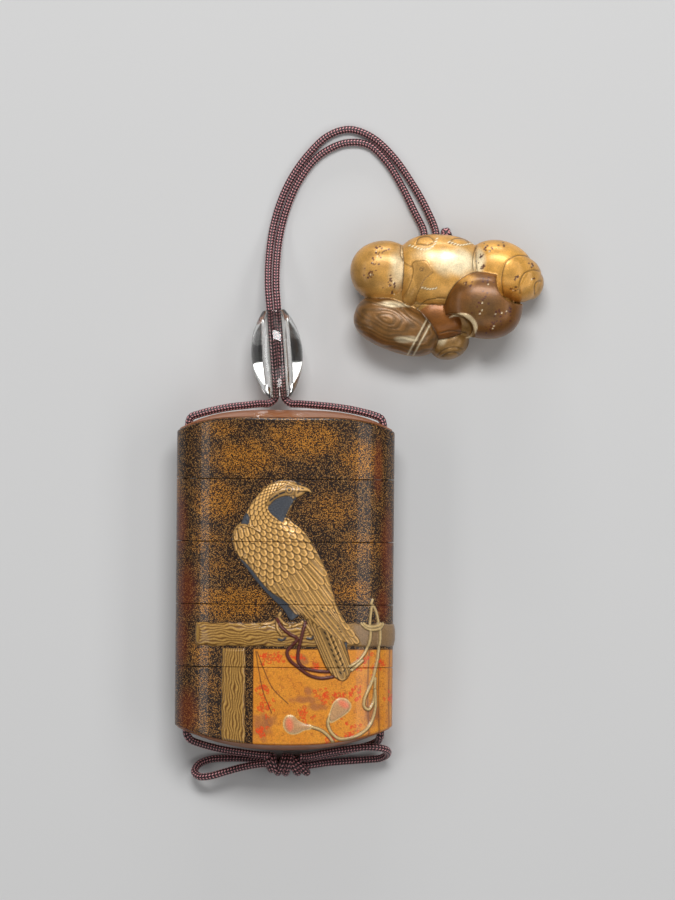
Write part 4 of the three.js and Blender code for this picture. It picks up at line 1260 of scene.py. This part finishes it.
def netsuke_picture():
    """The netsuke's gold, its engraved lines and its dots, seen from above."""
    picture = Picture((-27, -19), (27, 19), NETSUKE_STEP)
    X, Y = np.meshgrid(picture.x, picture.y)
    gold, pale, brown = colour("shell_gold"), colour("shell_pale"), colour("shell_brown")
    tones = {
        "heap": gold * 0.55,
        "razor_shell": gold * 0.94,
        "great_shell": gold * 1.08,
        "clam": gold * 0.92,
        "snail": gold * np.array([1.16, 1.14, 1.0]),
        "snail_crown": gold,
        "snail_tip": gold * 0.84,
        "half_shell": brown * np.array([0.62, 0.44, 0.24]),
        "ribbed_clam": brown * np.array([0.7, 0.6, 0.5]),
        "inner_clam": gold * np.array([0.38, 0.24, 0.09]),
        "small_snail": mix(gold, brown, 0.75) * 0.68,
    }
    heights = {name: lobe_height(form, X, Y) for name, form in SHELLS.items()}
    notch = np.zeros(X.shape, bool)
    for form in HALF_SHELL_NOTCHES:
        upper = lobe_height(form, X, Y)[0]
        floor = 2 * shell_middle(form)[0] - upper
        top = heights["half_shell"][0]
        lowered = np.where((upper > 0) & (floor < top), np.maximum(floor, 0), top)
        notch |= (lowered < top) & (lowered > 0)
        heights["half_shell"] = (lowered, *heights["half_shell"][1:])
    owner = np.argmax([heights[name][0] for name in tones], axis=0)
    groups = [np.max([heights[name][0] for name in group], axis=0) for group in SHELL_GROUPS]
    second, highest = np.sort(groups, axis=0)[-2:]
    picture.layers["figure"][:] = 1.0
    picture.layers["gilt"][:] = 0.6
    own = {name: owner == k for k, name in enumerate(tones)}
    for name, tone in tones.items():
        picture.lay(WHOLE, own[name].astype(float), paint=tone, figure=1.0)
    # painted shade: the wall of the notch in the half shell is darkened where it lies in shade
    rim = (notch & own["half_shell"]).astype(float)
    picture.lay(WHOLE, rim, paint=brown * 0.35)
    line = through(BROKEN_EDGE, 0.2)
    spot, x, y = picture.window(line, 1.2)
    away, along = away_from(x, y, line)
    width = 0.42 * np.sin(math.pi * np.clip(along / (0.2 * len(line)), 0, 1)) + 0.12
    picture.lay(spot, soft(width - away, 0.16), paint=mix(pale, gold, 0.3))
    picture.layers["fine"][spot] += 0.2 * soft(width - away, 0.3)
    # painted highlights, and darker patches, laid over the shells
    for name, x, y, w, h, strength, hue, tone in NETSUKE_HIGHLIGHTS_AND_DARK_PATCHES:
        reach = np.hypot((X - x) / w, (Y - y) / h) + 0.1 * np.sin(X * 1.3 + Y)
        picture.lay(WHOLE, strength * smooth_step(1.5 - reach) * own[name], paint=colour(hue) * tone)
    engrave_ribs(picture, heights["ribbed_clam"], own["ribbed_clam"].astype(float))
    engrave_lines(picture)
    stamp_dots(picture)
    # painted shade: darker lines, over a shallow groove, in the creases where two shells meet
    crease_shade = smooth_step(1 - (highest - second) / 0.5) * (second > 0.5)
    picture.lay(WHOLE, 0.8 * crease_shade, paint=brown * 0.12)
    picture.layers["fine"] -= 0.12 * crease_shade
    return picture


def engrave_ribs(picture, lobe, mine):
    """The long clam's growth lines, as ovals about an off-centre eye, and the band near its end."""
    brown, pale = colour("shell_brown"), colour("shell_pale")
    _, u, v = lobe
    ripple = 0.07 * np.sin(u * 9) + 0.05 * np.sin(v * 14 + 3 * u)
    reach = np.hypot((u + 0.32) * 1.3, (v - 0.12) * 1.9) + ripple
    lines = 0.5 + 0.5 * np.cos(2 * math.pi * reach * 3.6)
    picture.lay(WHOLE, mine * smooth_step(lines * 1.5 - 0.5) * 0.55, paint=brown * 0.3)
    picture.layers["fine"] -= 0.07 * mine * lines
    band = np.abs(u - 0.58 - 0.08 * v)
    picture.lay(WHOLE, mine * smooth_step(1 - band / 0.035), paint=brown * 0.3)
    picture.lay(WHOLE, mine * smooth_step(1 - np.abs(band - 0.06) / 0.03) * 0.8, paint=pale * 0.8)
    picture.layers["fine"] -= 0.12 * mine * smooth_step(1 - band / 0.04)


# Whorls and growth lines.
SHELL_LINES = [
    ((14.6, 1.4), (14.2, 4.2), (14.4, 6.8), (15.4, 9.5), (17.8, 11.2), (20.5, 11.2), (22.2, 10.5)),
    ((19.0, 1.4), (18.7, 3.2), (19.0, 4.8), (20.2, 6.8), (22.2, 7.6), (23.9, 7.4)),
    ((22.8, 1.4), (22.7, 3.4), (23.3, 4.6), (24.4, 4.8)),
    ((7.7, 13.8), (6.9, 11.5), (6.7, 9.1), (6.9, 7.4)),
    ((-11.8, 13.5), (-11.9, 11.2), (-10.8, 9.1), (-9.1, 8.1)),
    ((-7.5, -2.6), (-5.4, -0.6), (-3.1, 0.0), (-0.4, 0.0)),
    ((-1.6, -9.0), (0.6, -8.4), (3.4, -8.4), (5.2, -8.8)),
    ((-2.2, -14.6), (-0.6, -13.2), (1.8, -12.5), (4.2, -12.9)),
    ((-1.0, -14.8), (0.8, -13.9), (2.8, -13.9), (3.6, -14.4)),
    ((-8.0, 14.0), (-7.2, 15.6), (-4.6, 16.0), (-3.4, 14.8), (-4.6, 13.9), (-8.0, 14.0)),
    ((0.6, 14.2), (1.6, 15.4), (4.4, 15.5), (5.6, 14.4), (3.6, 13.8), (0.6, 14.2)),
]
# The strap-like shell between the clam and the great shell, and the middle of its scroll.
STRAP = [
    (-9.0, 8.5), (-8.6, 9.4), (-7.2, 9.7), (-5.2, 9.7), (-4.3, 8.5), (-3.4, 6.9), (-4.4, 5.9), (-5.5, 5.0),
    (-6.5, 3.1), (-7.6, 0.6), (-8.5, -1.6), (-10.0, -1.4), (-11.5, -0.3), (-10.1, 2.1), (-9.1, 4.8),
    (-8.7, 7.4),
]
SCROLL = (-6.4, 7.4)
# Rows of small raised beads.
BEAD_ROWS = (
    ((-9.6, 13.6), (-6.0, 12.6), (-3.4, 13.6), (-2.6, 15.4)), ((0.6, 14.6), (3.4, 13.8), (6.6, 14.4)),
    ((-6.2, 2.8), (-4.6, 2.4), (-2.8, 2.6)),
)


def engrave_lines(picture):
    """Whorls, growth lines, the strap-like shell with its scroll, and rows of beads."""
    gold, brown, pale = colour("shell_gold"), colour("shell_brown"), colour("shell_pale")
    for points in SHELL_LINES:
        line = through(points, 0.3)
        part, X, Y = picture.window(line, 1.0)
        away, _ = away_from(X, Y, line)
        picture.lay(part, 0.75 * soft(0.14 - away, 0.16), paint=brown * 0.3)
        picture.layers["fine"][part] -= 0.16 * smooth_step(1 - away / 0.35)
    shape(picture, STRAP, 0.22, mix(gold, brown, 0.3), brown * 0.25, 0.22, 0.4, 0.6)
    swirl = arc_about(SCROLL, np.linspace(0.7, 0.2, 12), np.linspace(0, 8, 12))
    stroke(picture, swirl, 0.2, 0, brown * 0.4, brown * 0.4)
    for row in BEAD_ROWS:
        for place in through(row, 0.75):
            stroke(picture, [place - (0.2, 0.12), place + (0.2, 0.12)], 0.34, 0.1, pale, brown)


# Where the dots are: across, along, how widely they are strewn and how many.
DOT_CLUSTERS = [
    (-17.2, 12.0, 1.5, 16), (-19.8, 6.2, 1.3, 16), (-19.0, 9.2, 0.9, 7), (-14.4, 3.6, 1.3, 16),
    (-14.0, 1.4, 0.8, 6), (10.4, 13.0, 1.0, 12), (9.0, 11.2, 0.9, 8), (9.0, 8.6, 0.8, 9),
    (14.1, 14.4, 1.2, 5), (18.1, 5.6, 0.6, 9), (17.6, 2.6, 0.6, 8), (21.8, 8.6, 0.9, 5),
    (22.4, 5.4, 0.5, 3), (5.4, 3.8, 0.7, 9), (10.2, 4.2, 1.0, 9), (9.8, 0.8, 1.5, 8),
    (8.4, -2.4, 2.2, 10), (13.4, -4.6, 1.6, 14), (11.6, -6.8, 1.4, 12), (16.0, -3.0, 1.0, 8),
]
PALE_DOT = 9  # every ninth dot is a pale one


def stamp_dots(picture):
    """Clusters of small dark dots, with a pale one here and there."""
    rng = np.random.default_rng(DOT_SEED)
    dark, pale = colour("shell_dot"), colour("shell_pale")
    for x, y, spread, count in DOT_CLUSTERS:
        for k in range(count):
            place = np.array([x, y]) + rng.normal(0, spread * 0.62, 2)
            tone, width = (dark, rng.uniform(0.32, 0.5)) if k % PALE_DOT else (pale, 0.3)
            stroke(picture, [place, place + rng.uniform(-0.08, 0.08, 2)], width, 0, tone, tone)


def make_netsuke():
    """The heap of shells: lobes joined, cut flat below, bored for the cord, remeshed and engraved."""
    piece = shell_lobe(SHELLS["half_shell"])
    cut(piece, [shell_lobe(form) for form in HALF_SHELL_NOTCHES])
    cut(piece, [shell_lobe(form) for name, form in SHELLS.items() if name != "half_shell"], "UNION")
    holes = []
    for route in (CORD_LEFT, CORD_RIGHT):
        inner, outer = np.array(route[0]), np.array(route[2])
        along = (outer - inner) / np.linalg.norm(outer - inner)
        start, end = inner - 0.4 * along, outer + 2 * along
        holes.append(rod((start + end) / 2, along, np.linalg.norm(end - start), NETSUKE_HOLE_RADIUS))
    cut(piece, holes)
    pick(piece)
    bpy.ops.object.mode_set(mode="EDIT")
    bpy.ops.mesh.select_all(action="SELECT")
    bpy.ops.mesh.bisect(plane_co=(0, 0, 0), plane_no=(0, 0, 1), clear_inner=True, use_fill=True)
    bpy.ops.object.mode_set(mode="OBJECT")
    remesh = piece.modifiers.new("remesh", "REMESH")
    remesh.mode = "VOXEL"
    remesh.voxel_size = NETSUKE_VOXEL * MM
    bpy.ops.object.modifier_apply(modifier=remesh.name)
    picture = netsuke_picture()
    mesh = piece.data
    points = mesh_points(mesh)
    normals = np.empty(len(mesh.vertices) * 3, np.float32)
    mesh.vertices.foreach_get("normal", normals)
    normals = normals.reshape(-1, 3)
    x, y = points[:, 0] - NETSUKE_CENTRE[0], points[:, 1] - NETSUKE_CENTRE[1]
    facing = smooth_step((normals[:, 2] + 0.05) / 0.3)
    points += normals * (picture.sample("fine", x, y) * facing)[:, None]
    points[:, 2] = np.maximum(points[:, 2], 0)
    mesh.vertices.foreach_set("co", (points * MM).astype(np.float32).ravel())
    under = colour("shell_gold") * 0.75
    put_attribute(mesh, "paint", mix(under, picture.sample("paint", x, y), facing))
    put_attribute(mesh, "gilt", mix(0.6, picture.sample("gilt", x, y), facing))
    mesh.shade_smooth()
    finish_piece(piece, "shell_netsuke", gold_lacquer(), "gold_lacquer", "netsuke")


# ---- The cord -------------------------------------------------------------------------------------------

BRAID = {
    "columns": 8, "pitch": 0.78, "slant": 0.6, "depth": 0.13, "around": 32, "step": 0.17, "swell": 0.06,
    "breadth": 0.9, "end": 0.2,
}
# The turns of the knots: place from the knot's middle, lean, tilt, reach and lift.
BOW_TURNS = (
    ((-4.3, 0.3, 0.0), -26, 6, 1.75, 1.8),
    ((-2.7, 0.2, -0.1), -16, -4, 1.9, 1.8),
    ((-0.9, -0.1, 0.1), 22, 8, 2.1, 2.0),
    ((0.8, -0.2, 0.3), 16, 4, 2.1, 2.1),
    ((2.3, -0.2, 0.1), -28, -6, 2.0, 2.0),
    ((4.1, -0.3, 0.0), -40, -8, 1.9, 1.8),
)
END_TURNS = (((0.0, 0.0, 0.0), 35, 0, 0.55, 0.42), ((0.25, -0.1, 0.0), -50, 10, 0.5, 0.4))


def braided_tube(name, route, closed=False):
    """A cord along a route, with the slanting stitches of its braid in rising and falling columns."""
    line = through(route, BRAID["step"], closed)
    if closed:
        ahead = np.roll(line, -1, axis=0) - np.roll(line, 1, axis=0)
    else:
        ahead = np.gradient(line, axis=0)
    ahead /= np.linalg.norm(ahead, axis=1)[:, None]
    sides = np.empty_like(line)
    side = np.cross(ahead[0], (0, 0, 1.0))
    if np.linalg.norm(side) < 0.1:
        side = np.cross(ahead[0], (1.0, 0, 0))
    for i, way in enumerate(ahead):
        side = side - way * side.dot(way)
        side = side / np.linalg.norm(side)
        sides[i] = side
    ups = np.cross(sides, ahead)
    run = run_along(line)[:, None]
    angle = np.arange(BRAID["around"])[None, :] * 2 * math.pi / BRAID["around"]
    column = angle / (2 * math.pi) * BRAID["columns"]
    within = column - np.floor(column) - 0.5
    lean = np.where(np.floor(column) % 2 == 0, 1, -1)
    stitch = np.abs(np.sin(math.pi * (run / BRAID["pitch"] + lean * BRAID["slant"] * within)))
    crest = stitch * np.cos(math.pi * within * BRAID["breadth"])
    radius = sizes().cord_diameter / MM / 2 + BRAID["swell"] - BRAID["depth"] * (1 - crest)
    ring = sides[:, None] * np.cos(angle)[..., None] + ups[:, None] * np.sin(angle)[..., None]
    points = line[:, None] + ring * radius[..., None]
    if closed:
        faces = quads_between(*points.shape[:2], closed=True)
        piece = mesh_piece(name, points.reshape(-1, 3), faces, {"crest": crest.ravel()})
    else:
        points, faces = loft(list(points), line[0], line[-1])
        piece = mesh_piece(name, points, faces, {"crest": np.append(crest, [BRAID["end"]] * 2)})
    piece.data.shade_smooth()
    return piece, line


def join(pieces):
    deselect()
    for piece in pieces:
        piece.select_set(True)
    bpy.context.view_layer.objects.active = pieces[0]
    bpy.ops.object.join()
    return pieces[0]


def wrap_round(centre, lean, tilt, reach, lift):
    """A closed turn of cord round a bundle that runs across, leaning in plan and tilted in height."""
    turns = []
    for angle in np.linspace(0, 2 * math.pi, 12, endpoint=False):
        y, z = reach * math.cos(angle), lift * math.sin(angle)
        turns.append((centre[0] + y * math.tan(math.radians(lean)) + z * math.tan(math.radians(tilt)),
                      centre[1] + y, centre[2] + z))
    return turns


def make_knot(name, node, middle, turns):
    """A knot: turns of cord pulled tight over each other."""
    rings = [wrap_round(np.add(middle, away), *form) for away, *form in turns]
    piece = join([braided_tube(f"turn_{k}", ring, closed=True)[0] for k, ring in enumerate(rings)])
    finish_piece(piece, name, braided_silk(), "silk_cord", node)
    return piece


LOOPS = ("bow_loop_left", "bow_loop_right")


def into_knot(end):
    """Where an end that stops at the knot would be 2 mm further in."""
    x, y, z = end
    return (x - math.copysign(2.0, x), y, z)


def make_cords():
    """The two halves of the cord, and the bow with its loops and knots."""
    bow_knot = make_knot("silk_bow_knot", "bow_knot", BOW_KNOT, BOW_TURNS)
    end_knot = make_knot("silk_end_knot", "end_knot", END_KNOT, END_TURNS)
    cords = (
        ("silk_cord_left", CORD_LEFT, "cord_left", [bow_knot]),
        ("silk_cord_right", CORD_RIGHT, "cord_right", [end_knot]),
        ("silk_loop_left", LOOP_LEFT, "bow_loop_left", []),
        ("silk_loop_right", LOOP_RIGHT, "bow_loop_right", []),
    )
    for name, route, node, with_pieces in cords:
        start = [into_knot(route[0])] if node in LOOPS else []
        route = start + route + [into_knot(route[-1])]
        piece, line = braided_tube(name, route)
        finish_piece(piece, name, braided_silk(), "silk_cord", node)


# ---- Materials ------------------------------------------------------------------------------------------


class Nodes:
    """A material's nodes, with short ways to make and link them."""

    def __init__(self, name):
        self.material = bpy.data.materials.new(name)
        self.material.use_nodes = True
        self.tree = self.material.node_tree
        self.shader = self.tree.nodes["Principled BSDF"]

    def add(self, kind, **settings):
        node = self.tree.nodes.new(kind)
        for key, value in settings.items():
            setattr(node, key, value)
        return node

    def feed(self, socket, value):
        if isinstance(value, bpy.types.NodeSocket):
            self.tree.links.new(value, socket)
        else:
            socket.default_value = (*value, 1.0) if hasattr(value, "__len__") and len(value) == 3 else value

    def attribute(self, name, output="Fac"):
        return self.add("ShaderNodeAttribute", attribute_name=name).outputs[output]

    def place(self):
        return self.add("ShaderNodeTexCoord").outputs["Object"]

    def maths(self, operation, a, b=0.0):
        node = self.add("ShaderNodeMath", operation=operation)
        self.feed(node.inputs[0], a)
        self.feed(node.inputs[1], b)
        return node.outputs[0]

    def spread(self, value, low, high, to_low=0.0, to_high=1.0):
        node = self.add("ShaderNodeMapRange", interpolation_type="SMOOTHSTEP")
        for socket, setting in zip(node.inputs[:5], (value, low, high, to_low, to_high)):
            self.feed(socket, setting)
        return node.outputs[0]

    def blend(self, share, a, b):
        node = self.add("ShaderNodeMix", data_type="RGBA")
        self.feed(node.inputs["Factor"], share)
        self.feed(node.inputs[6], a)
        self.feed(node.inputs[7], b)
        return node.outputs[2]

    def scaled(self, tone, by):
        node = self.add("ShaderNodeVectorMath", operation="SCALE")
        self.feed(node.inputs[0], tone)
        self.feed(node.inputs["Scale"], by)
        return node.outputs[0]

    def noise(self, size, detail=2.0):
        """Noise whose lumps are about `size` millimetres across."""
        node = self.add("ShaderNodeTexNoise")
        self.feed(node.inputs["Vector"], self.place())
        self.feed(node.inputs["Scale"], 1 / (size * MM))
        self.feed(node.inputs["Detail"], detail)
        return node.outputs["Fac"]

    def cells(self, size):
        """Cells about `size` millimetres across: how far from each one's middle, and its own colour."""
        node = self.add("ShaderNodeTexVoronoi")
        self.feed(node.inputs["Vector"], self.place())
        self.feed(node.inputs["Scale"], 1 / (size * MM))
        parts = self.add("ShaderNodeSeparateColor")
        self.feed(parts.inputs[0], node.outputs["Color"])
        return node.outputs["Distance"], parts.outputs[0], parts.outputs[1]

    def bump(self, height, distance):
        node = self.add("ShaderNodeBump")
        self.feed(node.inputs["Height"], height)
        self.feed(node.inputs["Distance"], distance * MM)
        self.feed(self.shader.inputs["Normal"], node.outputs[0])

    def surface(self, **sockets):
        for name, value in sockets.items():
            self.feed(self.shader.inputs[name.replace("_", " ")], value)
        return self.material


def sprinkled_lacquer():
    """Dark lacquer with sprinkled gold in clouds, and the picture's raised gold, under a clear coat."""
    n = Nodes("sprinkled_lacquer")
    cloud, warm, plain, figure = (n.attribute(name) for name in ("cloud", "warm", "plain", "figure"))
    distance, chance, tint = n.cells(0.21)
    dense = n.maths("ADD", cloud, n.maths("MULTIPLY", n.maths("SUBTRACT", n.noise(4.0), 0.5), 0.25))
    rich = n.spread(dense, 0.05, 0.95)
    threshold = n.spread(dense, -0.1, 1.0, 0.6, 0.3)
    fleck = n.spread(n.maths("SUBTRACT", chance, threshold), 0.0, 0.16)
    fleck = n.maths("MULTIPLY", fleck, n.spread(distance, 0.75, 0.35))
    ground = n.blend(rich, tuple(colour("lacquer")), tuple(colour("cloud_lacquer")))
    ground = n.blend(n.maths("MULTIPLY", warm, 0.8), ground, tuple(colour("warm_lacquer")))
    dim = n.blend(tint, tuple(colour("dim_flake")), tuple(colour("dim_pale_flake")))
    flake = n.blend(tint, tuple(colour("flake")), tuple(colour("pale_flake")))
    flake = n.blend(rich, dim, flake)
    flake = n.blend(n.maths("MULTIPLY", warm, 0.5), flake, tuple(colour("warm_lacquer") * 2.5))
    ground = n.blend(fleck, ground, flake)
    ground = n.blend(plain, ground, tuple(colour("plain_lacquer")))
    grain = n.spread(n.noise(0.35, 3.0), 0.3, 0.7, 0.82, 1.12)
    base = n.blend(figure, ground, n.scaled(n.attribute("paint", "Color"), grain))
    gilt = n.maths("MULTIPLY", figure, n.maths("MULTIPLY", n.attribute("gilt"), 0.3))
    loose = n.maths("MULTIPLY", n.maths("MULTIPLY", fleck, 0.3), n.maths("SUBTRACT", 1.0, figure))
    metal = n.maths("ADD", gilt, n.maths("MULTIPLY", loose, n.maths("SUBTRACT", 1.0, plain)))
    return n.surface(Base_Color=base, Metallic=metal, Roughness=0.36, Specular_IOR_Level=0.3,
                     Coat_Weight=0.25, Coat_Roughness=0.05)


def gold_lacquer():
    """Gold lacquer with a fine powdery grain, brighter and darker in patches."""
    n = Nodes("gold_lacquer")
    patch = n.spread(n.noise(3.0, 4.0), 0.3, 0.7, 0.8, 1.15)
    grain = n.spread(n.noise(0.3, 3.0), 0.3, 0.7, 0.86, 1.1)
    tone = n.scaled(n.attribute("paint", "Color"), n.maths("MULTIPLY", patch, grain))
    n.bump(n.noise(0.5, 3.0), 0.03)
    metal = n.maths("MULTIPLY", n.attribute("gilt"), 0.6)
    return n.surface(Base_Color=tone, Metallic=metal, Roughness=0.4, Coat_Weight=0.2, Coat_Roughness=0.2)


def rock_crystal():
    n = Nodes("rock_crystal")
    return n.surface(Base_Color=tuple(linear("f4f4f2")), Roughness=0.02, IOR=1.54, Transmission_Weight=1.0)


def braided_silk():
    """Silk that is pale on the crests of the braid, a painted highlight for its sheen, and dark between its
    stitches, painted shade.
    """
    made = bpy.data.materials.get("braided_silk")
    if made:
        return made
    n = Nodes("braided_silk")
    crest = n.attribute("crest")
    strand = n.spread(n.noise(0.16, 2.0), 0.3, 0.7, 0.85, 1.15)
    level = n.maths("MULTIPLY", n.spread(crest, 0.45, 1.0), strand)
    # painted highlight on the crests and painted shade between the stitches
    base = n.blend(level, tuple(colour("silk_shade")), tuple(colour("silk")))
    return n.surface(Base_Color=base, Roughness=0.5, Sheen_Weight=0.3, Sheen_Roughness=0.4)


def pale_floor():
    n = Nodes("pale_floor")
    return n.surface(Base_Color=tuple(colour("floor")), Roughness=0.9, Specular_IOR_Level=0.2)


# ---- The stage ------------------------------------------------------------------------------------------

VIEW_CENTRE = (13.3, 33.6, 11.5)
VIEW_HEIGHT = 231.75  # what the picture's height takes in, at the case's front
CAMERA_DISTANCE = 2600.0
CAMERA_ROLL = 0.5
SENSOR_WIDTH = 36.0

# Lights: name, place about the object, size, power in watts.
LIGHTS = [
    ("key", (60, 760, 1250), (900, 380), 16.4),
    ("fill", (300, -900, 1300), (1200, 800), 3.4),
    ("left_strip", (-900, 0, 760), (1200, 200), 2.2),
    ("right_strip", (900, 0, 820), (1200, 320), 3.0),
    ("top_strip", (0, 1000, 180), (500, 140), 3.2),
]
WORLD_LIGHT = 0.1

# Cards under the bead: one that glows, painted light for the light that the bead gathers, and a dark one,
# painted shade. Each has a place, half its width and length, colour and glow.
CARDS = [
    ("bead_glow", (-3.0, 51.9), (4.0, 5.0), (1.0, 1.0, 1.0), 1.8),
    ("bead_shade", (-2.3, 61.6), (3.2, 4.9), (0.1, 0.1, 0.1), 0.0),
]


def add_card(name, place, half_sizes, tone, glow):
    deselect()
    bpy.ops.mesh.primitive_circle_add(vertices=32, radius=MM, fill_type="NGON", location=(0, 0, 0.04 * MM))
    card = bpy.context.object
    card.name = card.data.name = name
    card.scale = (*half_sizes, 1)
    settle(card)
    card.location = (place[0] * MM, place[1] * MM, 0)
    settle(card)
    n = Nodes(name)
    # a card whose glow is above zero is painted light
    card.data.materials.append(n.surface(Base_Color=tone, Roughness=0.9, Emission_Color=tone,
                                         Emission_Strength=glow))


def make_stage():
    """The floor, the bead's cards of painted light and shade, soft lights and the camera straight above."""
    deselect()
    bpy.ops.mesh.primitive_plane_add(size=6.0, location=(0, 0, 0))
    floor = bpy.context.object
    floor.name = floor.data.name = "floor"
    floor.data.materials.append(pale_floor())
    for card in CARDS:
        add_card(*card)
    middle = Vector(VIEW_CENTRE) * MM
    for name, place, size, power in LIGHTS:
        spot = middle + Vector(place) * MM
        turn = (middle - spot).to_track_quat("-Z", "Y").to_euler()
        bpy.ops.object.light_add(type="AREA", location=spot, rotation=turn)
        light = bpy.context.object
        light.name = name
        light.data.shape = "RECTANGLE"
        light.data.size, light.data.size_y = (s * MM for s in size)
        light.data.energy = power
    world = bpy.context.scene.world or bpy.data.worlds.new("studio")
    bpy.context.scene.world = world
    world.use_nodes = True
    background = world.node_tree.nodes["Background"]
    background.inputs["Color"].default_value = (1, 1, 1, 1)
    background.inputs["Strength"].default_value = WORLD_LIGHT
    bpy.ops.object.camera_add(
        location=middle + Vector((0, 0, CAMERA_DISTANCE * MM)), rotation=(0, 0, math.radians(CAMERA_ROLL))
    )
    camera = bpy.context.object
    camera.data.sensor_width = SENSOR_WIDTH
    camera.data.lens = SENSOR_WIDTH * CAMERA_DISTANCE / VIEW_HEIGHT
    camera.data.clip_end = 20.0
    bpy.context.scene.camera = camera
    bpy.context.scene.view_settings.view_transform = "Standard"


# ---- Operators ------------------------------------------------------------------------------------------

SECTION_NAMES = ["lid", "box_1", "box_2", "box_3", "base_box"]


def make_case():
    wall = Wall()
    picture = case_picture(wall)
    columns = wall.columns()
    lacquer = sprinkled_lacquer()
    for index, node in enumerate(SECTION_NAMES):
        piece = case_piece(f"lacquer_{node}", wall, picture, columns, index)
        pick(piece)
        bpy.ops.object.shade_smooth_by_angle(angle=math.radians(CASE_SMOOTH_ANGLE))
        finish_piece(piece, f"lacquer_{node}", lacquer, "sprinkled_lacquer", node)


class INRO_OT_stage(bpy.types.Operator):
    """Add the floor, the lights and the camera"""

    bl_idname = "inro.stage"
    bl_label = "Stage"

    def execute(self, context):
        make_stage()
        return {"FINISHED"}


class INRO_OT_cord(bpy.types.Operator):
    """Add the silk cord, its bow and its knots"""

    bl_idname = "inro.cord"
    bl_label = "Silk cord"

    def execute(self, context):
        make_cords()
        return {"FINISHED"}


class INRO_OT_case(bpy.types.Operator):
    """Add the lid and the four boxes, with the picture across them"""

    bl_idname = "inro.case"
    bl_label = "Lacquered case"

    def execute(self, context):
        make_case()
        return {"FINISHED"}


class INRO_OT_bead(bpy.types.Operator):
    """Add the crystal bead"""

    bl_idname = "inro.bead"
    bl_label = "Ojime bead"

    def execute(self, context):
        make_bead()
        return {"FINISHED"}


class INRO_OT_netsuke(bpy.types.Operator):
    """Add the netsuke of seashells"""

    bl_idname = "inro.netsuke"
    bl_label = "Netsuke"

    def execute(self, context):
        make_netsuke()
        return {"FINISHED"}


OPERATORS = (INRO_OT_stage, INRO_OT_cord, INRO_OT_case, INRO_OT_bead, INRO_OT_netsuke)


class INRO_PT_panel(bpy.types.Panel):
    """The inro's sizes, colours and pieces"""

    bl_idname = "INRO_PT_panel"
    bl_label = "Inro"
    bl_space_type = "VIEW_3D"
    bl_region_type = "UI"
    bl_category = "Inro"

    def draw(self, context):
        for group in (context.scene.inro_sizes, context.scene.inro_colours):
            for name in group.__annotations__:
                self.layout.prop(group, name)
        for operator in OPERATORS:
            self.layout.operator(operator.bl_idname)


CLASSES = (InroSizes, InroColours, *OPERATORS, INRO_PT_panel)


def register():
    for cls in CLASSES:
        bpy.utils.register_class(cls)
    bpy.types.Scene.inro_sizes = bpy.props.PointerProperty(type=InroSizes)
    bpy.types.Scene.inro_colours = bpy.props.PointerProperty(type=InroColours)


def unregister():
    del bpy.types.Scene.inro_colours
    del bpy.types.Scene.inro_sizes
    for cls in reversed(CLASSES):
        bpy.utils.unregister_class(cls)


def main():
    register()
    bpy.ops.inro.stage()
    bpy.ops.inro.cord()
    bpy.ops.inro.case()
    bpy.ops.inro.bead()
    bpy.ops.inro.netsuke()


if __name__ == "__main__":
    main()
